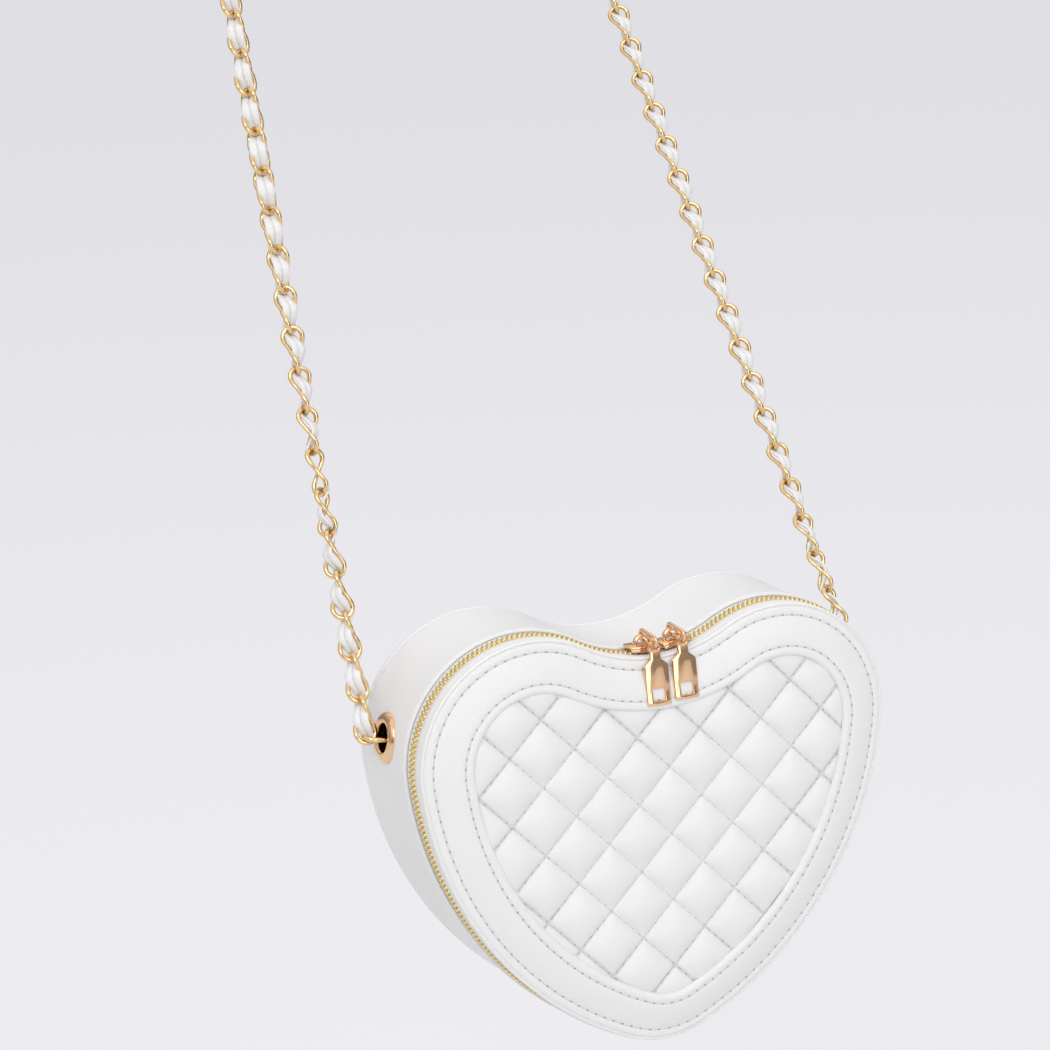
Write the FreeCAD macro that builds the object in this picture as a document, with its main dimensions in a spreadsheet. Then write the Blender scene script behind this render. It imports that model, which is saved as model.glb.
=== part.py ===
"""Heart shaped purse: a quilted box bag, zipped round its edge, on a chain strap laced with ribbon.

Millimetres. X runs to the right as the bag is worn, Y from the quilted front to the plain back, Z up.
Pieces are drawn with the heart's tip at Z = 0 and the front edge of the border at Y = 0, and each is
then placed so that the origin is the inside of the strap's top, where a shoulder carries the bag.
"""
import FreeCAD
import Part
import Sketcher
import math
import os

Vector = FreeCAD.Vector
Rotation = FreeCAD.Rotation
Placement = FreeCAD.Placement

doc = FreeCAD.newDocument("heart_purse")
sheet = doc.addObject("Spreadsheet::Sheet", "Sizes")

SIZES = [
    # outline of the heart, along the outside of the gusset
    ("heart_width", 200.0), ("heart_height", 170.0), ("lobe_radius", 48.0), ("cleft_radius", 60.0),
    ("side_radius", 140.0), ("tip_radius", 41.0),
    # back shell
    ("leather", 1.4), ("gusset_front", 12.8), ("gusset_width", 42.2), ("back_thickness", 3.5),
    ("back_round", 3.0), ("board", 1.4), ("lining", 0.6),
    # front lid
    ("border_setback", 1.6), ("border_edge", 1.8), ("border_rise", 4.2), ("border_opening", 20.0),
    ("quilt_clearance", 0.2), ("quilt_height", 6.2), ("wadding", 3.4), ("quilt_pitch", 18.8),
    ("groove_width", 4.0), ("groove_depth", 2.0), ("quilt_shift_across", 2.6), ("quilt_shift_up", 112.0),
    ("front_board", 0.8), ("front_lining", 0.5),
    # zip
    ("tape", 0.7), ("zip_line", 7.8), ("row_gap", 0.2), ("tooth_reach", 2.6), ("tooth_height", 2.7),
    ("tooth_width", 1.5), ("tooth_pitch", 2.5), ("rear_tape_width", 8.0), ("zip_end", 48.0),
    ("hinge_gap", 0.4), ("hinge_zone", 60.0),
    # sliders
    ("slider_length", 12.8), ("slider_meet", 4.6), ("slider_gap", 1.3), ("slider_plate", 1.4),
    ("channel_play", 0.6), ("channel_above", 0.9), ("channel_below", 0.7), ("flange_wall", 1.0),
    ("flange_drop", 1.0), ("post_width", 1.6), ("post_length", 2.0), ("post_setback", 0.6),
    ("bail_radius", 3.4), ("bail_wire", 0.7), ("bail_shift", 0.3),
    # connector rings and pulls
    ("ring_bend", 2.0), ("ring_wire", 0.6), ("ring_reach", 9.4), ("ring_droop", 4.0),
    ("eye_radius", 2.8), ("eye_hole", 1.5), ("pull_thickness", 1.2), ("pull_width", 10.2),
    ("pull_length", 22.2), ("neck_width", 4.2), ("neck_length", 7.0), ("shoulder_length", 2.4),
    ("window_width", 5.2), ("window_height", 5.0), ("window_margin", 1.6), ("pull_lean", 9.0),
    # eyelets
    ("eyelet_margin", 3.7), ("eyelet_depth", 34.0), ("eyelet_hole", 5.5), ("eyelet_wall", 0.9),
    ("eyelet_flange", 10.0), ("flange_thickness", 1.2), ("washer_thickness", 0.8), ("barrel_play", 0.1),
    # chain strap
    ("link_length", 20.0), ("link_width", 9.4), ("link_wire", 1.9), ("link_play", 0.1),
    ("strap_clearance", 6.7), ("strap_foot", 0.1), ("left_lean", 23.0), ("right_lean", 33.0),
    ("left_inset", 4.0), ("left_links", 24), ("right_links", 27), ("arch_links", 20),
    ("ribbon_width", 2.8), ("ribbon_thickness", 0.9), ("ribbon_swing", 4.2),
    ("keeper_radius", 6.0), ("keeper_wire", 0.95),
]
for row, (alias, number) in enumerate(SIZES, start=1):
    sheet.set("A%d" % row, alias)
    sheet.set("B%d" % row, repr(number))
    sheet.setAlias("B%d" % row, alias)
doc.recompute()


def size(alias):
    """A size from the sheet."""
    return float(sheet.get(alias))


def total(terms):
    """The sum of several sizes, written as names with an optional minus sign."""
    return sum(-size(t[1:]) if t.startswith("-") else size(t) for t in terms)


def formula(terms):
    """The same sum as an expression that follows the sheet."""
    text = "0 mm"
    for term in terms:
        sign, name = (" - ", term[1:]) if term.startswith("-") else (" + ", term)
        text += sign + "Sizes." + name + " * 1 mm"
    return text


# Where the outline's arcs have their centres.
lobe_x = size("heart_width") / 2 - size("lobe_radius")
lobe_z = size("heart_height") - size("lobe_radius")
cleft_z = lobe_z + math.sqrt((size("cleft_radius") + size("lobe_radius")) ** 2 - lobe_x ** 2)
span_z = lobe_z - size("tip_radius")
span = math.hypot(lobe_x, span_z)
to_lobe = size("side_radius") - size("lobe_radius")
to_tip = size("side_radius") - size("tip_radius")
along = (to_tip ** 2 - to_lobe ** 2 + span ** 2) / (2 * span)
aside = math.sqrt(to_tip ** 2 - along ** 2)
side_x = along * lobe_x / span - aside * span_z / span
side_z = size("tip_radius") + along * span_z / span + aside * lobe_x / span
tip_angle = math.atan2(size("tip_radius") - side_z, -side_x)
lobe_angle = math.atan2(lobe_z - side_z, lobe_x - side_x)
cleft_angle = math.atan2(cleft_z - lobe_z, -lobe_x)

# The strap hangs from the inside of its arch. Its legs lean back from the bag, the right one further.
flange_angle = math.asin(size("eyelet_flange") / size("lobe_radius"))
lift = lobe_angle + flange_angle + math.radians(size("eyelet_margin"))
eyelet_lift = math.degrees(lift)
eyelet_x = lobe_x + size("lobe_radius") * math.cos(lift)
eyelet_z = lobe_z + size("lobe_radius") * math.sin(lift)
wire_radius = size("link_wire") / 2
link_pitch = size("link_length") - 2 * size("link_wire") - size("link_play")
left_count = int(round(size("left_links")))
right_count = int(round(size("right_links")))
arch_count = int(round(size("arch_links")))
arch_radius = link_pitch / (2 * math.sin(math.pi / (2 * arch_count)))


def strap_foot(sign):
    """Where the first link of a leg hangs in the end link outside the eyelet."""
    side = eyelet_x + size("strap_clearance")
    return Vector(sign * side, size("eyelet_depth"), eyelet_z + size("strap_foot"))


def leg_top(sign, count, lean, across):
    """Where a leg ends, given how far across it does and how far back it leans."""
    foot = strap_foot(sign)
    rise = math.sqrt((count * link_pitch) ** 2 - (across - foot.x) ** 2)
    return Vector(across, foot.y + rise * math.sin(lean), foot.z + rise * math.cos(lean))


left_lean = math.radians(size("left_lean"))
right_lean = math.radians(size("right_lean"))
left_top = leg_top(-1, left_count, left_lean, strap_foot(-1).x + size("left_inset"))
right_top = leg_top(1, right_count, right_lean, -left_top.x)
for step in range(30):
    depth = math.hypot(right_top.y - left_top.y, right_top.z - left_top.z)
    across = left_top.x + math.sqrt((2 * arch_radius) ** 2 - depth ** 2)
    right_top = leg_top(1, right_count, right_lean, across)
arch_across = (right_top - left_top).normalize()
arch_rise = (left_top - strap_foot(-1)).normalize() + (right_top - strap_foot(1)).normalize()
arch_rise = (arch_rise - arch_across * arch_rise.dot(arch_across)).normalize()
arch_normal = arch_rise.cross(arch_across)
arch_middle = (left_top + right_top) * 0.5


def strap_spots():
    """The points where two links meet, from the left eyelet over the arch to the right eyelet."""
    points = []
    for step in range(left_count):
        share = step / left_count
        points.append(strap_foot(-1) * (1 - share) + left_top * share)
    for step in range(arch_count + 1):
        angle = math.pi * (1 - step / arch_count)
        points.append(arch_middle + arch_across * (arch_radius * math.cos(angle))
                      + arch_rise * (arch_radius * math.sin(angle)))
    for step in range(1, right_count + 1):
        share = step / right_count
        points.append(right_top * (1 - share) + strap_foot(1) * share)
    return points


spots = strap_spots()
shift = (arch_middle + arch_rise * (arch_radius - size("link_width") / 2)) * -1

pieces = []


def keep(piece, label):
    """Names a finished piece and lists it for writing."""
    piece.Label = label
    pieces.append(piece)
    return piece


def put(piece, turn=None, about=None):
    """Places a finished piece: an optional turn about a point, then the move to the strap's origin."""
    place = Placement(shift, Rotation())
    if turn is not None:
        place = place.multiply(Placement(Vector(), turn, about))
    piece.Placement = place
    return piece


def origin_plane(body, role):
    """One of a body's own origin planes."""
    return next(f for f in body.Origin.OriginFeatures if f.Role == role)


def heart_arcs(inset):
    """The six arcs of the outline moved inwards, as centre, radius, start and end angle."""
    lobe = size("lobe_radius") - inset
    side = size("side_radius") - inset
    return [
        (0, size("tip_radius"), size("tip_radius") - inset, -math.pi - tip_angle, tip_angle),
        (side_x, side_z, side, tip_angle, lobe_angle),
        (lobe_x, lobe_z, lobe, lobe_angle, cleft_angle),
        (0, cleft_z, size("cleft_radius") + inset, -cleft_angle, cleft_angle - math.pi),
        (-lobe_x, lobe_z, lobe, math.pi - cleft_angle, math.pi - lobe_angle),
        (-side_x, side_z, side, math.pi - lobe_angle, math.pi - tip_angle),
    ]


def add_heart(sketch, tag, inset):
    """Draws the outline into a sketch, moved inwards, with its radii and centres tied to the sheet."""
    rule = Sketcher.Constraint
    first = sketch.GeometryCount
    for x, z, radius, start, end in heart_arcs(total(inset)):
        circle = Part.Circle(Vector(x, z, 0), Vector(0, 0, 1), radius)
        sketch.addGeometry(Part.ArcOfCircle(circle, start, end), False)
    tip, right_side, right_lobe, cleft, left_lobe, left_side = range(first, first + 6)
    sketch.addConstraint([
        rule("Tangent", tip, 2, right_side, 1), rule("Tangent", right_side, 2, right_lobe, 1),
        rule("Tangent", right_lobe, 2, cleft, 2), rule("Tangent", cleft, 1, left_lobe, 1),
        rule("Tangent", left_lobe, 2, left_side, 1), rule("Tangent", left_side, 2, tip, 1),
        rule("Equal", right_side, left_side), rule("Equal", right_lobe, left_lobe),
        rule("Symmetric", right_lobe, 3, left_lobe, 3, -2), rule("PointOnObject", tip, 3, -2)])
    step = total(inset)
    inward = formula(inset)
    bound = [
        ("tip_up", rule("DistanceY", -1, 1, tip, 3, size("tip_radius")), "Sizes.tip_radius * 1 mm"),
        ("lobe_out", rule("DistanceX", -1, 1, right_lobe, 3, lobe_x),
         "(Sizes.heart_width / 2 - Sizes.lobe_radius) * 1 mm"),
        ("lobe_up", rule("DistanceY", -1, 1, right_lobe, 3, lobe_z),
         "(Sizes.heart_height - Sizes.lobe_radius) * 1 mm"),
        ("tip_arc", rule("Radius", tip, size("tip_radius") - step),
         "Sizes.tip_radius * 1 mm - (%s)" % inward),
        ("side_arc", rule("Radius", right_side, size("side_radius") - step),
         "Sizes.side_radius * 1 mm - (%s)" % inward),
        ("lobe_arc", rule("Radius", right_lobe, size("lobe_radius") - step),
         "Sizes.lobe_radius * 1 mm - (%s)" % inward),
        ("cleft_arc", rule("Radius", cleft, size("cleft_radius") + step),
         "Sizes.cleft_radius * 1 mm + (%s)" % inward),
    ]
    for name, constraint, expression in bound:
        index = sketch.addConstraint(constraint)
        sketch.renameConstraint(index, name + tag)
        sketch.setExpression("Constraints." + name + tag, expression)


def heart_sketch(body, name, station, *insets):
    """A sketch of one or more outlines, facing the front, at a distance behind the front edge."""
    sketch = body.newObject("Sketcher::SketchObject", name)
    sketch.AttachmentSupport = (origin_plane(body, "XZ_Plane"), [""])
    sketch.MapMode = "FlatFace"
    sketch.setExpression("AttachmentOffset.Base.z", "-(%s)" % formula(station))
    for number, inset in enumerate(insets):
        add_heart(sketch, "_%d" % number, inset)
    return sketch


def pad(body, sketch, length, to_back=True):
    """A pad of a sketch, towards the back of the bag unless told otherwise."""
    feature = body.newObject("PartDesign::Pad", sketch.Name + "_pad")
    feature.Profile = sketch
    feature.setExpression("Length", formula(length))
    feature.Reversed = to_back
    sketch.Visibility = False
    return feature


def heart_slab(label, station, thickness, *insets):
    """A body cut to the outline, or a ring between two outlines."""
    body = doc.addObject("PartDesign::Body", label)
    pad(body, heart_sketch(body, label + "_sketch", station, *insets), thickness)
    return body


def tip_sketch(body, name, station, outside):
    """A sketch of the stretch under the tip that has no zip, or of everything outside that stretch."""
    sketch = body.newObject("Sketcher::SketchObject", name)
    sketch.AttachmentSupport = (origin_plane(body, "XZ_Plane"), [""])
    sketch.MapMode = "FlatFace"
    sketch.setExpression("AttachmentOffset.Base.z", "-(%s)" % formula(station))
    reach, top, low = size("zip_end"), size("hinge_zone"), -size("tip_radius")
    far, high = size("heart_width"), 2 * size("heart_height")
    clear = 0 if outside else size("hinge_gap")
    inner = [(-reach - clear, low), (-reach - clear, top), (reach + clear, top), (reach + clear, low)]
    outer = [(far, low), (far, high), (-far, high), (-far, low)]
    corners = inner + outer if outside else inner
    count = len(corners)
    for step in range(count):
        a, b = corners[step], corners[(step + 1) % count]
        sketch.addGeometry(Part.LineSegment(Vector(a[0], a[1], 0), Vector(b[0], b[1], 0)), False)
    rule = Sketcher.Constraint
    for step in range(count):
        sketch.addConstraint(rule("Coincident", step, 2, (step + 1) % count, 1))
    gap = "0 mm" if outside else "Sizes.hinge_gap * 1 mm"
    spots = ["-Sizes.zip_end * 1 mm - " + gap, "-Sizes.zip_end * 1 mm - " + gap,
             "Sizes.zip_end * 1 mm + " + gap, "Sizes.zip_end * 1 mm + " + gap,
             "Sizes.heart_width * 1 mm", "Sizes.heart_width * 1 mm",
             "-Sizes.heart_width * 1 mm", "-Sizes.heart_width * 1 mm"]
    heights = ["-Sizes.tip_radius * 1 mm", "Sizes.hinge_zone * 1 mm", "Sizes.hinge_zone * 1 mm",
               "-Sizes.tip_radius * 1 mm", "-Sizes.tip_radius * 1 mm", "2 * Sizes.heart_height * 1 mm",
               "2 * Sizes.heart_height * 1 mm", "-Sizes.tip_radius * 1 mm"]
    for step in range(count):
        across = sketch.addConstraint(rule("DistanceX", -1, 1, step, 1, corners[step][0]))
        sketch.renameConstraint(across, "across_%d" % step)
        sketch.setExpression("Constraints.across_%d" % step, spots[step])
        upward = sketch.addConstraint(rule("DistanceY", -1, 1, step, 1, corners[step][1]))
        sketch.renameConstraint(upward, "upward_%d" % step)
        sketch.setExpression("Constraints.upward_%d" % step, heights[step])
    return sketch


def cut_tip(body, station, length, outside=False):
    """Cuts away the stretch under the tip, or leaves only that stretch."""
    sketch = tip_sketch(body, body.Name + "_tip", station, outside)
    pocket = body.newObject("PartDesign::Pocket", body.Name + "_pocket")
    pocket.Profile = sketch
    pocket.setExpression("Length", formula(length))
    pocket.Reversed = False
    sketch.Visibility = False
    return pocket


def primitive(kind, name, sizes, base=(0, 0, 0), turn=None):
    """A primitive solid whose sizes follow the sheet."""
    solid = doc.addObject(kind, name)
    for key, terms in sizes.items():
        solid.setExpression(key, terms if isinstance(terms, str) else formula(terms))
    solid.Placement = Placement(Vector(*base), turn or Rotation())
    return solid


def fuse(name, solids):
    """One solid from several."""
    joined = doc.addObject("Part::MultiFuse", name)
    joined.Shapes = solids
    joined.Refine = True
    return joined


def cut(name, base, tool):
    """One solid with another taken away."""
    result = doc.addObject("Part::Cut", name)
    result.Base = base
    result.Tool = tool
    return result


def common(name, base, tool):
    """What two solids share."""
    result = doc.addObject("Part::Common", name)
    result.Base = base
    result.Tool = tool
    return result


def formed(label, shape):
    """A piece whose shape is made by a formula."""
    piece = doc.addObject("Part::Feature", label)
    piece.Shape = shape
    return keep(put(piece), label)


def number(alias, factor=1):
    """An expression for a size without its unit, times a factor."""
    return "Sizes.%s * %s" % (alias, factor)


along_x = Rotation(Vector(0, 1, 0), 90)
along_y = Rotation(Vector(1, 0, 0), -90)
barrel_radius = size("eyelet_hole") + size("eyelet_wall")


def barrel_holes(name, radius_terms):
    """Two round cutters along the eyelets' axes, clear of the other walls."""
    cutters = []
    for side, sign in (("left", -1), ("right", 1)):
        start = size("lobe_radius") / 2
        cutter = primitive("Part::Cylinder", name + "_" + side,
                           {"Radius": radius_terms, "Height": ["lobe_radius"]})
        turn = Rotation(Vector(0, 1, 0), 90 - eyelet_lift if sign > 0 else eyelet_lift - 90)
        centre = Vector(sign * lobe_x, size("eyelet_depth"), lobe_z)
        cutter.Placement = Placement(centre + turn.multVec(Vector(0, 0, start)), turn)
        cutters.append(cutter)
    return fuse(name, cutters)


# Back shell: a padded back panel with a rounded edge, a stiff board in front of it, and the gusset
# that runs all the way round, with a hole in each side for an eyelet.
back_panel = heart_slab("back_panel", ["gusset_front", "gusset_width"], ["back_thickness"], [])
doc.recompute()
rear_face = max(range(len(back_panel.Shape.Faces)), key=lambda i: back_panel.Shape.Faces[i].CenterOfMass.y)
flat_panel = back_panel.Tip
rounding = back_panel.newObject("PartDesign::Fillet", "back_panel_round")
rounding.Base = (flat_panel, ["Face%d" % (rear_face + 1)])
rounding.setExpression("Radius", "Sizes.back_round * 1 mm")
keep(put(back_panel), "back_panel")

back_board = heart_slab("back_board", ["gusset_front", "gusset_width", "-board"], ["board"], ["leather"])
keep(put(back_board), "back_board")

gusset_ring = heart_slab("gusset_ring", ["gusset_front"], ["gusset_width"], [], ["leather"])
rear_gusset = cut("rear_gusset", gusset_ring,
                  barrel_holes("gusset_holes", ["eyelet_hole", "eyelet_wall", "barrel_play"]))
keep(put(rear_gusset), "rear_gusset")

tape_start = ["zip_line", "row_gap", "tooth_reach"]
lining_ring = heart_slab("lining_ring", tape_start + ["rear_tape_width"],
                         ["gusset_front", "gusset_width", "-board", "-zip_line", "-row_gap", "-tooth_reach",
                          "-rear_tape_width"], ["leather"], ["leather", "lining"])
gusset_lining = cut("gusset_lining", lining_ring,
                    barrel_holes("lining_holes", ["eyelet_hole", "eyelet_wall", "barrel_play"]))
keep(put(gusset_lining), "gusset_lining")

# Zip tapes: the rear one is sewn inside the gusset's edge, the front one behind the border's edge.
# Both stop short of the tip, where a leather strip joins the lid to the shell and folds as its hinge.
rear_tape = heart_slab("rear_zip_tape", tape_start, ["rear_tape_width"], ["leather"], ["leather", "tape"])
cut_tip(rear_tape, tape_start, ["rear_tape_width"])
keep(put(rear_tape), "rear_zip_tape")

front_tape_width = ["zip_line", "-tooth_reach", "-border_edge"]
front_tape = heart_slab("front_zip_tape", ["border_edge"], front_tape_width, ["leather"], ["leather", "tape"])
cut_tip(front_tape, ["border_edge"], ["zip_line"])
keep(put(front_tape), "front_zip_tape")

hinge_strip = heart_slab("hinge_strip", ["border_edge", "hinge_gap"],
                         ["gusset_front", "-border_edge", "-hinge_gap"], [], ["leather"])
cut_tip(hinge_strip, ["border_edge"], ["gusset_front"], outside=True)
keep(put(hinge_strip), "hinge_strip")


def edge_place(run, inset):
    """A point on the outline, by its distance from the middle of the cleft, and its outward angle."""
    sign = 1 if run >= 0 else -1
    left = abs(run)
    cleft = size("cleft_radius") + inset
    reach = cleft * (cleft_angle - math.pi / 2)
    if left <= reach:
        angle = left / cleft
        return sign * cleft * math.sin(angle), cleft_z - cleft * math.cos(angle), -sign * angle
    left -= reach
    lobe = size("lobe_radius") - inset
    reach = lobe * (cleft_angle - lobe_angle)
    if left <= reach:
        angle = cleft_angle - left / lobe
        x, z = lobe_x + lobe * math.cos(angle), lobe_z + lobe * math.sin(angle)
        return sign * x, z, sign * (math.pi / 2 - angle)
    left -= reach
    side = size("side_radius") - inset
    angle = lobe_angle - left / side
    x, z = side_x + side * math.cos(angle), side_z + side * math.sin(angle)
    return sign * x, z, sign * (math.pi / 2 - angle)


slider_run = {}
for side, sign in (("left", -1), ("right", 1)):
    slider_run[side] = size("slider_meet") + sign * (size("slider_gap") + size("slider_length")) / 2
tooth_inset = size("leather") + size("tape") / 2


def teeth(front):
    """One row of teeth, from each slider outwards to the end of the zip near the tip."""
    reach = size("tooth_reach")
    low = size("zip_line") - reach if front else size("zip_line") + size("row_gap")
    row = []
    for side, sign in (("left", -1), ("right", 1)):
        run = abs(slider_run[side]) if slider_run[side] * sign > 0 else 0
        run += size("slider_length") / 2 + size("tooth_pitch") / (2 if front else 1)
        while True:
            x, z, angle = edge_place(sign * run, tooth_inset)
            below = z < size("hinge_zone")
            if below and abs(x) < size("zip_end") + size("hinge_gap") + size("tooth_width"):
                break
            tooth = Part.makeBox(size("tooth_width"), reach, size("tooth_height"),
                                 Vector(-size("tooth_width") / 2, low, -size("tooth_height") / 2))
            turn = Rotation(Vector(0, 1, 0), math.degrees(angle))
            tooth.Placement = Placement(Vector(x, 0, z), turn)
            row.append(tooth)
            run += size("tooth_pitch")
    return Part.makeCompound(row)


formed("rear_zip_teeth", teeth(False))
formed("front_zip_teeth", teeth(True))

# Front lid: a stiff board, its lining, a padded border band that rises to its inner edge, and the
# quilted panel set in the band's opening.
front_board = heart_slab("front_board", ["border_edge"], ["front_board"], ["leather", "tape"])
keep(put(front_board), "front_board")
front_lining = heart_slab("front_lining", ["border_edge", "front_board"], ["front_lining"],
                          ["leather", "tape"])
keep(put(front_lining), "front_lining")

border = doc.addObject("PartDesign::Body", "front_border")
pad(border, heart_sketch(border, "border_edge_sketch", [], ["border_setback"]), ["border_edge"])
rise_foot = heart_sketch(border, "border_foot", [], ["border_setback"])
rise_head = heart_sketch(border, "border_head", ["-border_rise"], ["border_opening"])
rise = border.newObject("PartDesign::AdditiveLoft", "border_rise")
rise.Profile = rise_foot
rise.Sections = [rise_head]
rise.Ruled = True
opening = border.newObject("PartDesign::Pocket", "border_opening")
opening.Profile = heart_sketch(border, "border_opening_sketch", ["-border_rise"], ["border_opening"])
opening.setExpression("Length", formula(["border_rise", "border_edge"]))
opening.Reversed = False
keep(put(border), "front_border")

quilt_inset = ["border_opening", "quilt_clearance"]
wadding = heart_slab("quilt_wadding", ["border_edge", "-wadding"], ["wadding"], quilt_inset)
keep(put(wadding), "quilt_wadding")
pad_body = heart_slab("quilt_pad", ["border_edge", "-quilt_height"], ["quilt_height", "-wadding"],
                      quilt_inset)


def groove_set(name, turn):
    """Parallel sewn grooves across the quilted panel, as wedges to cut away."""
    wedges = []
    reach = size("heart_width")
    steps = int(reach / size("quilt_pitch") / 2) + 1
    front = size("border_edge") - size("quilt_height")
    spin = Rotation(Vector(0, 1, 0), turn)
    anchor = Vector(size("quilt_shift_across"), front, size("quilt_shift_up"))
    for step in range(-steps, steps + 1):
        wedge = primitive("Part::Wedge", "%s_%d" % (name, step + steps), {
            "Xmin": ["-groove_width"], "Xmax": ["groove_width"], "X2min": [], "X2max": [],
            "Ymin": ["-groove_depth"], "Ymax": ["groove_depth"],
            "Zmin": ["-heart_width"], "Zmax": ["heart_width"],
            "Z2min": ["-heart_width"], "Z2max": ["heart_width"]})
        wedge.Placement = Placement(anchor + spin.multVec(Vector(step * size("quilt_pitch"), 0, 0)), spin)
        wedges.append(wedge)
    bundle = doc.addObject("Part::Compound", name)
    bundle.Links = wedges
    return bundle


once = cut("quilt_once", pad_body, groove_set("falling_grooves", -45))
quilt = cut("quilted_panel", once, groove_set("rising_grooves", 45))
keep(put(quilt), "quilted_panel")

# Eyelets: a flange that follows the lobe's curve outside the gusset, a barrel through the wall, and a
# washer behind the lining.
wall = size("leather") + size("lining")


def shell_ring(name, outer, inner, radius, hole):
    """A round plate bent to the lobe's curve, with a hole, facing along X before it is turned."""
    reach = size("eyelet_flange") * 3
    deep = size("eyelet_depth") - reach / 2
    skin_out = primitive("Part::Cylinder", name + "_out",
                         {"Radius": outer, "Height": number("eyelet_flange", "3 mm")})
    skin_in = primitive("Part::Cylinder", name + "_in",
                        {"Radius": inner, "Height": number("eyelet_flange", "3 mm")})
    for skin in (skin_out, skin_in):
        skin.Placement = Placement(Vector(0, deep, 0), along_y)
    disc = primitive("Part::Cylinder", name + "_disc", {"Radius": radius, "Height": ["heart_width"]},
                     (0, size("eyelet_depth"), 0), along_x)
    bore = primitive("Part::Cylinder", name + "_bore", {"Radius": hole, "Height": ["heart_width"]},
                     (0, size("eyelet_depth"), 0), along_x)
    plate = common(name + "_plate", cut(name + "_skin", skin_out, skin_in), disc)
    return cut(name, plate, bore)


for side, sign in (("left", -1), ("right", 1)):
    flange = shell_ring("flange_" + side, ["lobe_radius", "flange_thickness"], ["lobe_radius"],
                        ["eyelet_flange"], ["eyelet_hole"])
    barrel_out = primitive("Part::Cylinder", "barrel_out_" + side,
                           {"Radius": ["eyelet_hole", "eyelet_wall"],
                            "Height": ["flange_thickness", "leather", "lining", "washer_thickness"]},
                           (size("lobe_radius") - wall - size("washer_thickness"), size("eyelet_depth"), 0),
                           along_x)
    barrel_in = primitive("Part::Cylinder", "barrel_in_" + side,
                          {"Radius": ["eyelet_hole"], "Height": ["heart_width"]},
                          (0, size("eyelet_depth"), 0), along_x)
    eyelet = fuse("eyelet_" + side, [flange, cut("barrel_" + side, barrel_out, barrel_in)])
    turned = Rotation(Vector(0, 1, 0), -sign * eyelet_lift)
    seat = Placement(shift + Vector(sign * lobe_x, 0, lobe_z), turned)
    if sign < 0:
        about = Rotation(Vector(0, 0, 1), 180)
        seat = seat.multiply(Placement(Vector(0, 2 * size("eyelet_depth"), 0), about))
    eyelet.Placement = seat
    keep(eyelet, "eyelet_" + side)
    washer = shell_ring("washer_" + side, ["lobe_radius", "-leather", "-lining"],
                        ["lobe_radius", "-leather", "-lining", "-washer_thickness"],
                        ["eyelet_flange"], ["eyelet_hole", "eyelet_wall", "barrel_play"])
    washer.Placement = eyelet.Placement
    keep(washer, "eyelet_washer_" + side)

# Sliders: two plates joined by a post at the nose, with lips that hold the teeth and slots for the
# tapes, and an arched bail on top. They meet nose to nose at the cleft.
bottom_z = cleft_z - size("cleft_radius")
tooth_top = -(tooth_inset - size("tooth_height") / 2)
tooth_low = -(tooth_inset + size("tooth_height") / 2)
plate_low = bottom_z + tooth_top + size("channel_above")
under_top = bottom_z + tooth_low - size("channel_below")
slider_half = size("tooth_reach") + size("channel_play") + size("row_gap") / 2
slider_front = size("zip_line") + size("row_gap") / 2 - slider_half - size("flange_wall")
slider_width = "(2 * (Sizes.tooth_reach + Sizes.channel_play + Sizes.row_gap / 2 + Sizes.flange_wall)) * 1 mm"
ring_starts = {}
for side, sign in (("left", -1), ("right", 1)):
    half = size("slider_length") / 2
    solids = []
    for name, z in (("top", plate_low), ("under", under_top - size("slider_plate"))):
        solids.append(primitive("Part::Box", "slider_%s_%s" % (name, side), {
            "Length": ["slider_length"], "Width": slider_width, "Height": ["slider_plate"]},
            (-half, slider_front, z)))
    for name, z in (("upper", plate_low - size("flange_drop")), ("lower", under_top)):
        for edge, y in (("front", slider_front),
                        ("rear", slider_front + 2 * slider_half + size("flange_wall"))):
            solids.append(primitive("Part::Box", "slider_%s_%s_%s" % (name, edge, side), {
                "Length": ["slider_length"], "Width": ["flange_wall"], "Height": ["flange_drop"]},
                (-half, y, z)))
    nose = -sign * (half - size("post_setback"))
    solids.append(primitive("Part::Box", "slider_post_" + side, {
        "Length": ["post_length"], "Width": ["post_width"],
        "Height": "(Sizes.channel_above + Sizes.channel_below + Sizes.tooth_height) * 1 mm"},
        (nose if nose < 0 else nose - size("post_length"),
         size("zip_line") + size("row_gap") / 2 - size("post_width") / 2, under_top)))
    arch = primitive("Part::Torus", "slider_bail_" + side, {
        "Radius1": ["bail_radius"], "Radius2": ["bail_wire"], "Angle3": "180 deg"})
    bail_top = plate_low + size("slider_plate") + size("bail_radius")
    bail_x = -sign * size("bail_shift")
    bail_y = size("zip_line") + size("row_gap") / 2
    arch.Placement = Placement(Vector(bail_x, bail_y, bail_top - size("bail_radius")),
                               Rotation(Vector(1, 0, 0), 90))
    slider = fuse("slider_" + side, solids + [arch])
    angle = -math.degrees(slider_run[side] / (size("cleft_radius") + tooth_inset))
    turn = Rotation(Vector(0, 1, 0), angle)
    keep(put(slider, turn, Vector(0, 0, cleft_z)), "slider_" + side)
    arm = turn.multVec(Vector(bail_x, bail_y, bail_top - cleft_z))
    ring_starts[side] = Vector(arm.x, bail_y, cleft_z + arm.z)

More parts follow.
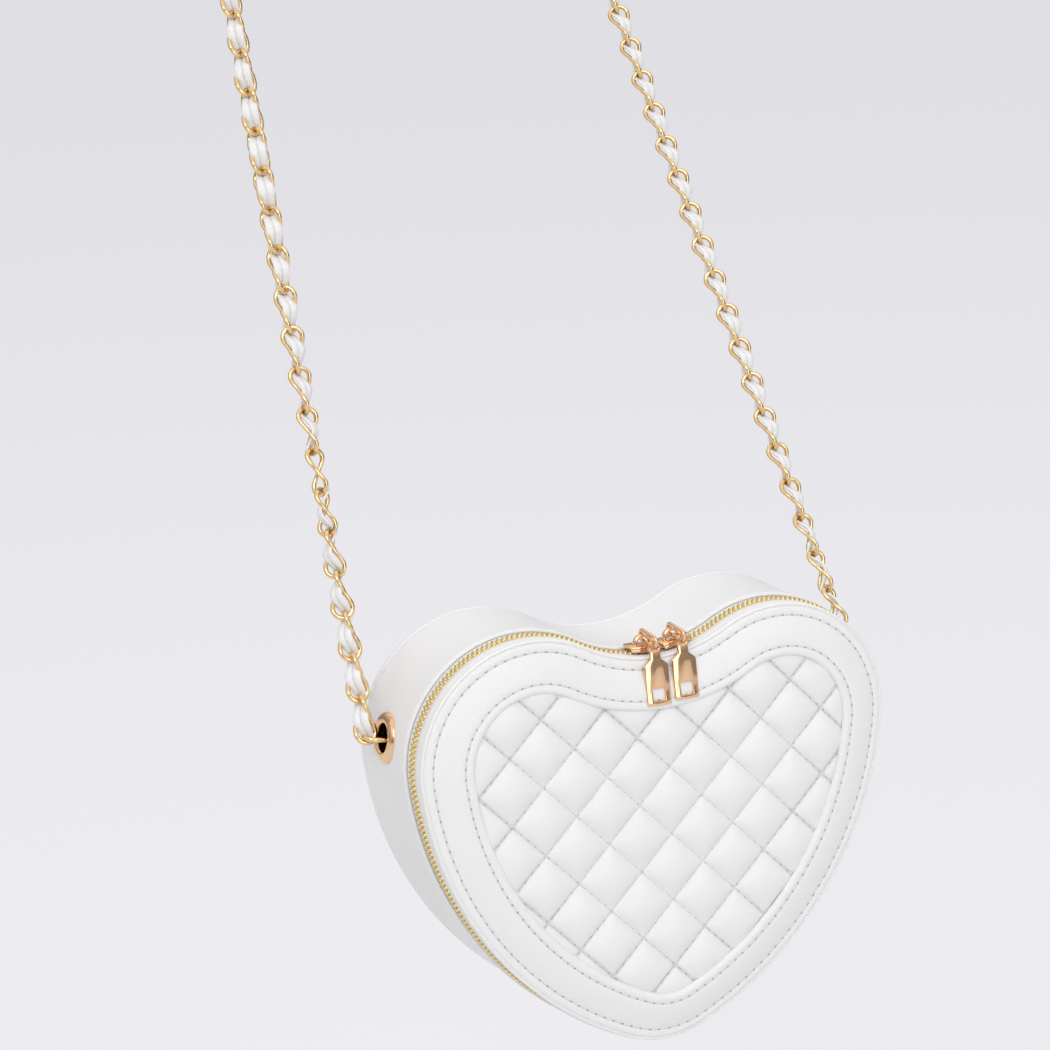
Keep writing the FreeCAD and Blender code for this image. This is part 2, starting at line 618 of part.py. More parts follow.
# Connector rings: oval wire rings that hang on the bails and reach over the border's edge.
# Plate pulls: a neck with an eye, shoulders, and a plate with a window near its lower end.
droop = math.radians(size("ring_droop"))
pull_points = {}
for side in ("left", "right"):
    wires = []
    upright_turns = (("near", 0, Rotation(Vector(0, 0, 1), 0)), ("far", 1, Rotation(Vector(0, 0, 1), 180)))
    for name, z, turn in upright_turns:
        bend = primitive("Part::Torus", "ring_%s_%s" % (name, side), {
            "Radius1": ["ring_bend"], "Radius2": ["ring_wire"], "Angle3": "180 deg"})
        bend.Placement = Placement(Vector(0, -z * size("ring_reach"), 0), turn)
        wires.append(bend)
    for name, x in (("upper", 1), ("lower", -1)):
        wires.append(primitive("Part::Cylinder", "ring_%s_%s" % (name, side), {
            "Radius": ["ring_wire"], "Height": ["ring_reach"]},
            (x * size("ring_bend"), -size("ring_reach"), 0), along_y))
    ring = fuse("pull_ring_" + side, wires)
    upright = Rotation(Vector(0, 1, 0), -90)
    slope = Rotation(Vector(1, 0, 0), size("ring_droop"))
    ring.Placement = Placement(shift + ring_starts[side], slope.multiply(upright))
    keep(ring, "pull_ring_" + side)
    hang = slope.multVec(Vector(0, -size("ring_reach"), -size("ring_bend")))
    pull_points[side] = ring_starts[side] + hang

    eye = primitive("Part::Cylinder", "pull_eye_" + side, {
        "Radius": ["eye_radius"], "Height": ["pull_thickness"]}, (0, -size("pull_thickness") / 2, 0), along_y)
    neck = primitive("Part::Box", "pull_neck_" + side, {
        "Length": ["neck_width"], "Width": ["pull_thickness"], "Height": ["neck_length"]},
        (-size("neck_width") / 2, -size("pull_thickness") / 2, -size("neck_length")))
    shoulder = primitive("Part::Wedge", "pull_shoulder_" + side, {
        "Xmin": number("pull_width", "-0.5 mm"), "Xmax": number("pull_width", "0.5 mm"),
        "X2min": number("neck_width", "-0.5 mm"), "X2max": number("neck_width", "0.5 mm"),
        "Ymin": [], "Ymax": ["shoulder_length"],
        "Zmin": number("pull_thickness", "-0.5 mm"), "Zmax": number("pull_thickness", "0.5 mm"),
        "Z2min": number("pull_thickness", "-0.5 mm"), "Z2max": number("pull_thickness", "0.5 mm")},
        (0, 0, -size("neck_length")), Rotation(Vector(1, 0, 0), 90))
    plate = primitive("Part::Box", "pull_plate_" + side, {
        "Length": ["pull_width"], "Width": ["pull_thickness"], "Height": ["pull_length", "-neck_length"]},
        (-size("pull_width") / 2, -size("pull_thickness") / 2, -size("pull_length")))
    eye_hole = primitive("Part::Cylinder", "pull_hole_" + side, {
        "Radius": ["eye_hole"], "Height": number("pull_thickness", "2 mm")},
        (0, -size("pull_thickness"), 0), along_y)
    window = primitive("Part::Box", "pull_window_" + side, {
        "Length": ["window_width"], "Width": number("pull_thickness", "2 mm"), "Height": ["window_height"]},
        (-size("window_width") / 2, -size("pull_thickness"), size("window_margin") - size("pull_length")))
    pull = cut("pull_" + side, fuse("pull_body_" + side, [eye, neck, shoulder, plate]),
               fuse("pull_openings_" + side, [eye_hole, window]))
    pull.Placement = Placement(shift + pull_points[side], Rotation(Vector(1, 0, 0), -size("pull_lean")))
    keep(pull, "pull_" + side)

# Chain strap: oval wire links set crosswise to each other, an end link through each eyelet, and a ring
# inside the bag that is too big for the hole. The ribbon is laced to and fro through every link.
bend = (size("link_width") - size("link_wire")) / 2
straight = size("link_length") - size("link_width")


def oval_link():
    """One link, its long axis along Z and its plane X and Z."""
    solids = []
    for sign in (-1, 1):
        solids.append(Part.makeCylinder(wire_radius, straight, Vector(sign * bend, 0, -straight / 2)))
        arc = Part.makeTorus(bend, wire_radius, Vector(), Vector(0, 0, 1), 0, 360, 180)
        arc.rotate(Vector(), Vector(1, 0, 0), 90 * sign)
        arc.translate(Vector(0, 0, sign * straight / 2))
        solids.append(arc)
    return solids[0].fuse(solids[1:]).removeSplitter()


link = oval_link()
last = len(spots) - 1
arch_from = left_count
arch_to = left_count + arch_count


def strap_normal(place):
    """The direction square to the strap at a distance along it, counted in links."""
    share = 1.0
    side = (0, 1, 0)
    if place < arch_from:
        share = place / arch_from
        side = (0, math.cos(left_lean), -math.sin(left_lean))
    if place > arch_to:
        share = (last - place) / (last - arch_to)
        side = (0, math.cos(right_lean), -math.sin(right_lean))
    return Vector(*side) * (1 - share) + arch_normal * share


def strap_axes(place, direction):
    """Two directions across the strap: one in its plane, one square to it."""
    wide = direction.cross(strap_normal(place)).normalize()
    return wide, wide.cross(direction)


def placed_link(i):
    """A copy of the link between two junctions, flat in the strap's plane or across it."""
    direction = (spots[i + 1] - spots[i]).normalize()
    wide, normal = strap_axes(i + 0.5, direction)
    first = wide if i % 2 == 0 else normal
    copy = link.copy()
    copy.Placement = Placement((spots[i] + spots[i + 1]) * 0.5,
                               Rotation(first, direction.cross(first), direction, "ZXY"))
    return copy


def end_link(sign):
    """The link that passes through an eyelet, flat across the bag's depth, and where its inner end is."""
    outward = Vector(sign * math.cos(lift), 0, math.sin(lift))
    reach = (size("link_length") - size("link_wire")) / 2
    foot = strap_foot(sign) + Vector(0, 0, wire_radius + size("link_play"))
    middle = foot - outward * (reach - wire_radius - size("link_play"))
    copy = link.copy()
    wide = Vector(0, 1, 0)
    copy.Placement = Placement(middle, Rotation(wide, outward.cross(wide), outward, "ZXY"))
    return copy, middle - outward * (reach - size("link_wire") - size("link_play")), outward


stretches = {"left_leg": (0, arch_from), "shoulder": (arch_from, arch_to), "right_leg": (arch_to, last)}
for name, (first, stop) in stretches.items():
    links = [placed_link(i) for i in range(first, stop)]
    if name != "shoulder":
        side, sign = ("left", -1) if name == "left_leg" else ("right", 1)
        tail, hook, outward = end_link(sign)
        links.append(tail)
        ring = Part.makeTorus(size("keeper_radius"), size("keeper_wire"),
                              hook - outward * size("keeper_radius"), Vector(0, 1, 0))
        formed("keeper_ring_" + side, ring)
    formed("chain_" + name, Part.makeCompound(links))

    sections = []
    for i in range(first, stop + 1):
        direction = (spots[min(i + 1, last)] - spots[max(i - 1, 0)]).normalize()
        wide, normal = strap_axes(i, direction)
        swing = (wide + normal).normalize()
        across = (wide - normal).normalize()
        centre = spots[i] + swing * (size("ribbon_swing") * (1 if i % 2 == 0 else -1))
        half_thick, half_wide = size("ribbon_thickness") / 2, size("ribbon_width") / 2
        corners = [centre + swing * (a * half_thick) + across * (b * half_wide)
                   for a, b in ((-1, -1), (1, -1), (1, 1), (-1, 1))]
        sections.append(Part.makePolygon(corners + corners[:1]))
    formed("ribbon_" + name, Part.makeLoft(sections, True, True))

doc.recompute()
for item in doc.Objects:
    if "Invalid" in item.State or "Error" in item.State:
        raise RuntimeError("%s could not be built: %s" % (item.Label, item.State))
for piece in pieces:
    if piece.Shape.isNull() or not piece.Shape.isValid():
        raise RuntimeError("%s has no valid shape" % piece.Label)
os.makedirs("parts", exist_ok=True)
for piece in pieces:
    piece.Shape.exportStep("parts/%s.step" % piece.Label)
    box = piece.Shape.BoundBox
    print("%-22s solids %3d volume %10.2f  x %8.2f %8.2f  y %8.2f %8.2f  z %8.2f %8.2f" % (
        piece.Label, len(piece.Shape.Solids), piece.Shape.Volume, box.XMin, box.XMax, box.YMin, box.YMax,
        box.ZMin, box.ZMax))
print("link pitch %.2f, arch radius %.2f" % (link_pitch, arch_radius))
print("right top %s, origin %s" % (right_top, shift * -1))
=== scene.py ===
import math
from contextlib import contextmanager

import bpy
import numpy as np
from mathutils import Matrix, Vector


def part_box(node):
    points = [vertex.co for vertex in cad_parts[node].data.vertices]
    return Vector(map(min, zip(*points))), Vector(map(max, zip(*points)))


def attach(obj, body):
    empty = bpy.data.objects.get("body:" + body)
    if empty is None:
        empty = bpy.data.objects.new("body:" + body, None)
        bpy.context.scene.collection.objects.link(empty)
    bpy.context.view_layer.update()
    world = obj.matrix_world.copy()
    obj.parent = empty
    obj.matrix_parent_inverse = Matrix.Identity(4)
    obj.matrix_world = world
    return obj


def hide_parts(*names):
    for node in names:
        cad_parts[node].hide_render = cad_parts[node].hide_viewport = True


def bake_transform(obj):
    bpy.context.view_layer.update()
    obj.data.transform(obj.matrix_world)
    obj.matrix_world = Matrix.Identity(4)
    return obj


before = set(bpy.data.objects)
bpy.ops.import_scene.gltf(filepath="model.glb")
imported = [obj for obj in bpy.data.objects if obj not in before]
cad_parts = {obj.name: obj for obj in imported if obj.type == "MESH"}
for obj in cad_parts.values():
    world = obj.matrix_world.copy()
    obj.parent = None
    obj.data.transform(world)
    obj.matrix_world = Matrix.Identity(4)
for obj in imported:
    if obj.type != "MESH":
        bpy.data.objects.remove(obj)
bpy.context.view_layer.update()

# The back shell: white faux leather over board. One gusset band runs right round the heart with its
# front edge turned in, and a padded back panel is sewn to its rear edge with a sunken seam.
border_low, border_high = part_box("front_border")
border_rise = 4.2
tip = Vector(((border_low.x + border_high.x) / 2, border_low.y + border_rise / 1000,
              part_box("hinge_strip")[0].z))


def spot(x, y, z):
    """A point of the bag in millimetres: right of the middle, behind the border's edge, above the tip."""
    return tip + Vector((x, y, z)) / 1000


both_sides = {"left": -1, "right": 1}
lobe_radius, cleft_radius, side_radius, tip_radius = 48.0, 60.0, 140.0, 41.0
lobe_x, lobe_z = 52.0, 122.0
cleft_z = lobe_z + math.sqrt((cleft_radius + lobe_radius) ** 2 - lobe_x ** 2)
tip_to_lobe = math.hypot(lobe_x, lobe_z - tip_radius)
side_to_tip, side_to_lobe = side_radius - tip_radius, side_radius - lobe_radius
along = (side_to_tip ** 2 - side_to_lobe ** 2 + tip_to_lobe ** 2) / (2 * tip_to_lobe)
aside = math.sqrt(side_to_tip ** 2 - along ** 2)
side_x = (along * lobe_x - aside * (lobe_z - tip_radius)) / tip_to_lobe
side_z = tip_radius + (along * (lobe_z - tip_radius) + aside * lobe_x) / tip_to_lobe
tip_turn = math.atan2(tip_radius - side_z, -side_x)
lobe_turn = math.atan2(lobe_z - side_z, lobe_x - side_x)
cleft_turn = math.atan2(lobe_z - cleft_z, lobe_x)
heart_arcs = [
    (0.0, tip_radius, tip_radius, -1, -math.pi - tip_turn, tip_turn),
    (side_x, side_z, side_radius, -1, tip_turn, lobe_turn),
    (lobe_x, lobe_z, lobe_radius, -1, lobe_turn, math.pi + cleft_turn),
    (0.0, cleft_z, cleft_radius, 1, cleft_turn, -math.pi - cleft_turn),
    (-lobe_x, lobe_z, lobe_radius, -1, -cleft_turn, math.pi - lobe_turn),
    (-side_x, side_z, side_radius, -1, math.pi - lobe_turn, math.pi - tip_turn),
]


def heart_places(spacing):
    """Evenly spaced places round the heart from the tip's left end, each an arc and an angle on it."""
    places = []
    for x, z, radius, sign, start, end in heart_arcs:
        count = max(2, round(abs(end - start) * radius / spacing))
        for step in range(count):
            places.append((x, z, radius, sign, start + (end - start) * step / count))
    return places


def heart_point(place, inset, depth):
    """One place on the outline, moved inwards and back."""
    x, z, radius, sign, angle = place
    far = radius + sign * inset
    return spot(x + far * math.cos(angle), depth, z + far * math.sin(angle))


def heart_rows(profile, places):
    """Turns round the heart, one for each inset and depth of a profile."""
    return [[heart_point(place, inset, depth) for place in places] for inset, depth in profile]


heart_middle = (0.0, 98.0)


def covered(rows, shares, depth, crown=0.0):
    """The rows, carried on from the last one to the middle of the heart, level or rising to a crown."""
    middle = spot(heart_middle[0], 0, heart_middle[1])
    drawn_in = []
    for share in shares:
        back = tip.y + (depth + crown * share * (2 - share)) / 1000
        drawn_in.append([Vector((point.x + (middle.x - point.x) * share, back,
                                 point.z + (middle.z - point.z) * share)) for point in rows[-1]])
    return rows + drawn_in


def begun(add_primitive, **settings):
    """A new primitive to start a piece from, with nothing else selected."""
    bpy.ops.object.select_all(action="DESELECT")
    add_primitive(**settings)
    return bpy.context.object


@contextmanager
def editing():
    """Edit mode on the active piece, while a block of operators shapes it."""
    bpy.ops.object.mode_set(mode="EDIT")
    yield
    bpy.ops.object.mode_set(mode="OBJECT")


def laid_grid(name, rows, closed=True, joined=False, capped=False):
    """A grid laid over rows of points; closed rows meet end to end, joined ones first to last."""
    piece = begun(bpy.ops.mesh.primitive_grid_add, size=1, x_subdivisions=len(rows[0]) - 1 + closed,
                  y_subdivisions=len(rows) - 1 + joined)
    piece.name = name
    laid = [list(row) + ([row[0]] if closed else []) for row in rows]
    if joined:
        laid.append(laid[0])
    points = np.array([tuple(point) for row in laid for point in row], dtype=np.float32)
    piece.data.vertices.foreach_set("co", points.ravel())
    with editing():
        bpy.ops.mesh.select_all(action="SELECT")
        bpy.ops.mesh.remove_doubles(threshold=1e-6)
        if capped:
            bpy.ops.mesh.fill_holes(sides=0)
        bpy.ops.mesh.normals_make_consistent(inside=False)
    bpy.ops.object.shade_smooth()
    return piece


def pick(piece):
    """Makes one piece the only selected one, and the active one."""
    bpy.ops.object.select_all(action="DESELECT")
    bpy.context.view_layer.objects.active = piece
    piece.select_set(True)


def set_all(thing, **settings):
    """Sets several properties of one thing."""
    for key, value in settings.items():
        setattr(thing, key, value)


def finish_with(piece, kind, **settings):
    """Adds one modifier to a piece and applies it."""
    pick(piece)
    modifier = piece.modifiers.new(kind.lower(), kind)
    set_all(modifier, **settings)
    bpy.ops.object.modifier_apply(modifier=modifier.name)


def cut_away(piece, kind, chosen):
    """Deletes the faces or the points of a piece that a test chooses."""
    pick(piece)
    with editing():
        bpy.ops.mesh.select_mode(type=kind)
        bpy.ops.mesh.select_all(action="DESELECT")
    for element in piece.data.polygons if kind == "FACE" else piece.data.vertices:
        element.select = bool(chosen(element))
    with editing():
        bpy.ops.mesh.delete(type=kind)


outline_places = heart_places(spacing=1.7)
turned_edge = [(1.4, 19.0), (1.4, 13.5), (1.15, 12.95), (0.7, 12.75), (0.25, 12.9), (0.0, 13.4),
               (-0.05, 14.4)]
wall_front, wall_run, wall_inset, wall_hollow, wall_steps = 15.6, 36.4, 0.05, 0.55, 14
gusset_wall = []
for step in range(wall_steps + 1):
    share = step / wall_steps
    gusset_wall.append((wall_inset + wall_hollow * math.sin(math.pi * share), wall_front + wall_run * share))
panel_flat, panel_crown = 59.0, 0.9
sunken_seam = [(0.0, 52.7), (0.3, 53.2), (1.0, 53.6), (1.05, 53.9), (0.3, 54.3), (-0.05, 54.9), (0.0, 55.8)]
panel_edge = [(0.5, 57.0), (1.4, 57.8), (2.8, 58.35), (5.0, 58.6), (8.0, 58.8), (12.0, panel_flat)]
shell_rows = heart_rows(turned_edge + gusset_wall + sunken_seam + panel_edge, outline_places)
shell_rows = covered(shell_rows, (0.12, 0.26, 0.42, 0.58, 0.74, 0.88, 1.0), panel_flat, panel_crown)
back_shell = laid_grid("back_shell", shell_rows)

eyelet_radius, eyelet_depth, eyelet_margin = 10.0, 34.0, math.radians(3.7)
eyelet_turn = lobe_turn + math.asin(eyelet_radius / lobe_radius) + eyelet_margin
eyelet_ways, eyelet_spots = {}, {}
for side, sign in both_sides.items():
    eyelet_ways[side] = Vector((sign * math.cos(eyelet_turn), 0, math.sin(eyelet_turn)))
    eyelet_spots[side] = Vector((sign * lobe_x, eyelet_depth, lobe_z)) + eyelet_ways[side] * lobe_radius


def open_eyelets(piece, radius):
    """Takes out the faces that the eyelets' barrels go through."""
    middles = [spot(*place) for place in eyelet_spots.values()]
    cut_away(piece, "FACE", lambda face: any((face.center - m).length < radius / 1000 for m in middles))


open_eyelets(back_shell, radius=7.2)


class Wire:
    """A shader value. Sums and products of wires add their own Math nodes."""

    def __init__(self, tree, socket):
        self.tree = tree
        self.socket = socket

    def node(self, kind, settings=None, output=0, **values):
        """A node of any kind: its settings first, then the values or wires of its sockets."""
        made = self.tree.nodes.new(kind)
        set_all(made, **(settings or {}))
        for key, value in values.items():
            name = key.replace("_", " ")
            target = made.inputs[int(name[4:])] if name.startswith("slot") else made.inputs[name]
            if isinstance(value, Wire):
                self.tree.links.new(value.socket, target)
            else:
                target.default_value = value
        return Wire(self.tree, made.outputs[output])

    def maths(self, operation, first, second):
        """A Math node on two values or wires."""
        return self.node("ShaderNodeMath", {"operation": operation}, slot0=first, slot1=second)

    def __add__(self, other):
        return self.maths("ADD", self, other)

    def __mul__(self, other):
        return self.maths("MULTIPLY", self, other)

    __radd__ = __add__
    __rmul__ = __mul__


def new_material(name, **constants):
    """A material with one surface shader, its constants set on its own sockets, and a wire to build on."""
    material = bpy.data.materials.new(name)
    material.use_nodes = True
    tree = material.node_tree
    surface = tree.nodes["Principled BSDF"]
    for key, value in constants.items():
        surface.inputs[key.replace("_", " ")].default_value = value
    wire = Wire(tree, None)
    place = wire.node("ShaderNodeTexCoord", output="Object")
    return material, surface, wire, place


def feed(surface, name, wire):
    """Joins a wire to one socket of a shader."""
    wire.tree.links.new(wire.socket, surface.inputs[name])


def blend_colours(wire, share, first, second):
    """A colour between two, by a share that changes over the surface."""
    return wire.node("ShaderNodeMix", {"data_type": "RGBA"}, output=2, slot0=share, slot6=first, slot7=second)


def tone(shade, share=1.0):
    """A colour for a socket, made darker or lighter by a share."""
    return (*(value * share for value in shade), 1)


def white_leather(name, pebble, shade):
    """Coated faux leather: a fine pebbled grain, faint soft dents, and a slightly uneven satin coat."""
    material, surface, wire, place = new_material(name, Coat_Weight=0.06, Coat_Roughness=0.35, IOR=1.46)
    broad = wire.node("ShaderNodeTexNoise", Vector=place, Scale=38.0, Detail=2.0)
    fine = wire.node("ShaderNodeTexNoise", Vector=place, Scale=2600.0, Detail=2.0)
    cells = wire.node("ShaderNodeTexVoronoi", {"feature": "DISTANCE_TO_EDGE"}, Vector=place, Scale=1150.0)
    grain = wire.maths("MINIMUM", cells * 3.0, 1.0)
    feed(surface, "Base Color", blend_colours(wire, broad * 0.7, tone(shade), tone(shade, 0.965)))
    feed(surface, "Roughness", 0.36 + broad * 0.14 + fine * 0.06)
    height = grain * 0.6 + fine * 0.4
    feed(surface, "Normal", wire.node("ShaderNodeBump", Height=height, Strength=pebble, Distance=0.00022))
    return material


def dress(piece, material, body):
    """Gives a piece its material and the body that it rides on, if it has one."""
    piece.data.materials.clear()
    piece.data.materials.append(material)
    if body:
        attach(piece, body)


leather_shade = (0.86, 0.855, 0.85)
body_leather = white_leather("body_leather", 0.45, leather_shade)
dress(back_shell, body_leather, "bag")
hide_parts("rear_gusset", "back_panel")

# The lining: plain woven cloth glued inside the gusset and over the back board. It covers the end of the
# gusset's turned edge and is cut open round the eyelets.
lining_places, lining_shares = heart_places(spacing=2.0), (0.3, 0.6, 0.85, 1.0)
lining_inset, lining_front, lining_step, lining_turns, lining_flat = 2.0, 18.4, 2.069, 17, 53.5
lining_profile = [(lining_inset, lining_front + lining_step * step) for step in range(lining_turns)]
lining_profile += [(2.5, 52.9), (4.0, 53.4), (9.0, lining_flat)]
lining_rows = heart_rows(lining_profile, lining_places)
bag_lining = laid_grid("bag_lining", covered(lining_rows, lining_shares, lining_flat))
open_eyelets(bag_lining, radius=7.6)
finish_with(bag_lining, "SOLIDIFY", thickness=0.0004, offset=0.0)


def woven_cloth(name, pitch, shade, dark):
    """Plain weave: crossing threads of one pitch, a little uneven, matt."""
    material, surface, wire, place = new_material(name, Roughness=0.85, Sheen_Weight=0.15)
    turned = wire.node("ShaderNodeMapping", Vector=place, Scale=(1.0, -1.0, 0.35))
    warp, weft = [wire.node("ShaderNodeTexWave", {"bands_direction": "DIAGONAL"}, Vector=way,
                            Scale=math.pi / (10 * pitch), Distortion=0.6, Detail=1.0)
                  for way in (place, turned)]
    over = wire.maths("MAXIMUM", warp, weft)
    feed(surface, "Base Color", blend_colours(wire, over, tone(dark), tone(shade)))
    feed(surface, "Normal", wire.node("ShaderNodeBump", Height=over, Strength=0.35, Distance=0.0002))
    return material


lining_cloth = woven_cloth("lining_cloth", 0.0007, (0.78, 0.76, 0.73), (0.6, 0.58, 0.55))
dress(bag_lining, lining_cloth, "bag")
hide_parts("gusset_lining", "back_board")

# The eyelets: pressed brass in a warm gold plate. A rolled flange outside, a barrel through the wall and
# a flat washer inside hold the hole in each side of the gusset, and the chain passes through it.


def turned_metal(name, profile, centre, axis, segments):
    """A ring of metal turned about an axis from a closed profile of distances out and along."""
    axis = axis.normalized()
    first = axis.orthogonal().normalized()
    second = axis.cross(first)
    turns = [2 * math.pi * step / segments for step in range(segments)]
    ways = [first * math.cos(turn) + second * math.sin(turn) for turn in turns]
    rows = []
    for out, lift in profile:
        middle = centre + axis * (lift / 1000)
        rows.append([middle + way * (out / 1000) for way in ways])
    return laid_grid(name, rows, joined=True)


def bend_to_lobe(ring, side):
    """Bends a flat ring of metal round the lobe, so that it sits close on the gusset."""
    lobe_axis, outward = spot(both_sides[side] * lobe_x, 0, lobe_z), eyelet_ways[side]
    for vertex in ring.data.vertices:
        out = Vector((vertex.co.x - lobe_axis.x, 0, vertex.co.z - lobe_axis.z))
        flat = out.dot(outward)
        across = (out - outward * flat).length
        vertex.co += outward * (math.sqrt(max(flat ** 2 - across ** 2, 0)) - flat)


def plated_gold(name, shade, tint, rough):
    """Polished plate over pressed or cast metal: slow waves in the polish and faint rubbing marks."""
    material, surface, wire, place = new_material(name, Metallic=1.0)
    broad = wire.node("ShaderNodeTexNoise", Vector=place, Scale=160.0, Detail=2.0)
    rubbed = wire.node("ShaderNodeTexNoise", Vector=place, Scale=1900.0, Detail=3.0)
    feed(surface, "Base Color", blend_colours(wire, broad, tone(shade), tone(tint)))
    feed(surface, "Roughness", rough + rubbed * 0.1)
    height = broad + rubbed * 0.1
    feed(surface, "Normal", wire.node("ShaderNodeBump", Height=height, Strength=0.12, Distance=0.0003))
    return material


fitting_gold = plated_gold("fitting_gold", (0.83, 0.52, 0.29), (0.88, 0.6, 0.37), 0.06)
flange_profile = [(5.5, -3.0), (5.5, 0.4), (5.8, 0.95), (6.6, 1.25), (7.8, 1.2), (9.0, 0.85), (9.8, 0.2),
                  (eyelet_radius, -0.5), (9.7, -0.8), (6.9, -0.8), (6.4, -1.2), (6.4, -3.0)]
washer_profile = [(6.6, -2.1), (9.8, -2.1), (eyelet_radius, -2.4), (9.8, -2.7), (6.6, -2.7), (6.45, -2.4)]
for side in both_sides:
    for name, profile, node in (("eyelet_gold_", flange_profile, "eyelet_"),
                                ("washer_gold_", washer_profile, "eyelet_washer_")):
        ring = turned_metal(name + side, profile, spot(*eyelet_spots[side]), eyelet_ways[side], segments=48)
        bend_to_lobe(ring, side)
        finish_with(ring, "SUBSURF", levels=1, render_levels=1)
        dress(ring, fitting_gold, "bag")
        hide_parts(node + side)

# The zip's tapes: two woven white bands, one sewn inside the gusset's edge and one behind the border's.
# They stop short of the tip, with their ends tucked behind the leather hinge that joins lid and shell.
hinge_reach, hinge_top, tape_tuck = 49.5, 60.0, 4.0
tape_outer, tape_edge, tape_inner, tape_roll = 1.45, 1.8, 2.1, 0.05


def outline_spot(place):
    """How far right of the middle and above the tip a place on the outline is."""
    x, z, radius, sign, angle = place
    return x + radius * math.cos(angle), z + radius * math.sin(angle)


def near_tip(place, reach):
    """Whether a place on the outline lies under the tip, within a reach to either side."""
    x, z = outline_spot(place)
    return abs(x) < reach and z < hinge_top


def started(places, starts):
    """The places in their order, from the first one whose distance right of the middle passes a test."""
    first = next(index for index, place in enumerate(places) if starts(outline_spot(place)[0]))
    return places[first:] + places[:first]


zip_places = [place for place in outline_places if not near_tip(place, hinge_reach - tape_tuck)]
zip_places = started(zip_places, lambda x: x > 0)


def zip_tape(name, first, last):
    """A flat band with slightly rolled edges that runs round the zipped stretch."""
    half = (first + last) / 2
    profile = [(tape_outer, first), (tape_outer, half), (tape_outer, last), (tape_edge, last + tape_roll),
               (tape_inner, last), (tape_inner, half), (tape_inner, first), (tape_edge, first - tape_roll)]
    return laid_grid(name, heart_rows(profile, zip_places), closed=False, joined=True, capped=True)


tape_cloth = woven_cloth("tape_cloth", 0.00055, (0.86, 0.855, 0.84), (0.72, 0.71, 0.69))
for row, body, first, last in (("rear", "bag", 9.2, 18.5), ("front", "lid", 0.9, 8.0)):
    tape = zip_tape(row + "_tape", first, last)
    dress(tape, tape_cloth, body)
    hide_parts(row + "_zip_tape")

# The zip's teeth: pressed brass, clamped on the tapes' edges one by one. The rows mesh with each other,
# so a tooth of one row stands between two of the other.
zip_depth, tooth_pitch, tooth_inset, teeth_stop = 7.9, 2.1, 1.75, 50.0
tooth_size, tooth_bevel = (1.15, 2.8, 2.2), 0.34
slider_length, teeth_in_slider = 12.8, 1.5
slider_runs = {"left": -2.45, "right": 11.65}


def metres(x, y, z):
    """A length in millimetres each way, in metres."""
    return Vector((x, y, z)) / 1000


def heart_run(distance, inset):
    """Where the outline is this far from the middle of the cleft, and the way out of the heart there."""
    side = 1 if distance >= 0 else -1
    left = abs(distance)
    for x, z, radius, start, end, turn in (
            (0.0, cleft_z, cleft_radius + inset, -math.pi / 2, cleft_turn, 1),
            (lobe_x, lobe_z, lobe_radius - inset, math.pi + cleft_turn, lobe_turn, -1),
            (side_x, side_z, side_radius - inset, lobe_turn, tip_turn, -1)):
        length = abs(end - start) * radius
        if left <= length:
            break
        left -= length
    angle = start + turn * left / radius
    outward = Vector((side * math.cos(angle), 0, math.sin(angle))) * -turn
    return side * (x + radius * math.cos(angle)), z + radius * math.sin(angle), outward


def one_piece(name, parts):
    """Several meshes joined into one piece."""
    bpy.ops.object.select_all(action="DESELECT")
    for part in parts:
        part.select_set(True)
    bpy.context.view_layer.objects.active = parts[0]
    bpy.ops.object.join()
    parts[0].name = name
    return parts[0]


def copies(name, model, places):
    """Copies of one small model at many places, each with its own mesh, joined into one piece."""
    made = []
    for place in places:
        copy = model.copy()
        copy.data = model.data.copy()
        copy.data.transform(place)
        bpy.context.collection.objects.link(copy)
        made.append(copy)
    return one_piece(name, made)


def discard(model):
    """Takes a finished model away once its copies are made."""
    mesh = model.data
    bpy.data.objects.remove(model)
    bpy.data.meshes.remove(mesh)


def set_along(place, x_way, y_way, z_way):
    """The turn and place that put a model's own X, Y and Z along three ways."""
    return Matrix.Translation(place) @ Matrix((x_way, y_way, z_way)).transposed().to_4x4()


tooth = begun(bpy.ops.mesh.primitive_cube_add, size=1)
with editing():
    bpy.ops.transform.resize(value=metres(*tooth_size))
    bpy.ops.mesh.bevel(offset=tooth_bevel / 1000, segments=1, affect="EDGES")
bpy.ops.object.shade_smooth()
zip_gold = plated_gold("zip_gold", (0.8, 0.63, 0.28), (0.88, 0.72, 0.38), 0.16)
for row, body, offset, depth in (("front", "lid", 0.0, 7.6), ("rear", "bag", 0.5, 9.2)):
    places = []
    for side, sign in both_sides.items():
        run = abs(slider_runs[side]) + slider_length / 2 + tooth_pitch * (offset - teeth_in_slider)
        x, z, outward = heart_run(sign * run, tooth_inset)
        while abs(x) >= teeth_stop or z >= hinge_top:
            tangent = Vector((outward.z, 0, -outward.x))
            places.append(set_along(spot(x, depth, z), tangent, outward.cross(tangent), outward))
            run += tooth_pitch
            x, z, outward = heart_run(sign * run, tooth_inset)
    teeth = copies(row + "_teeth", tooth, places)
    dress(teeth, zip_gold, body)
    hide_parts(row + "_zip_teeth")
discard(tooth)
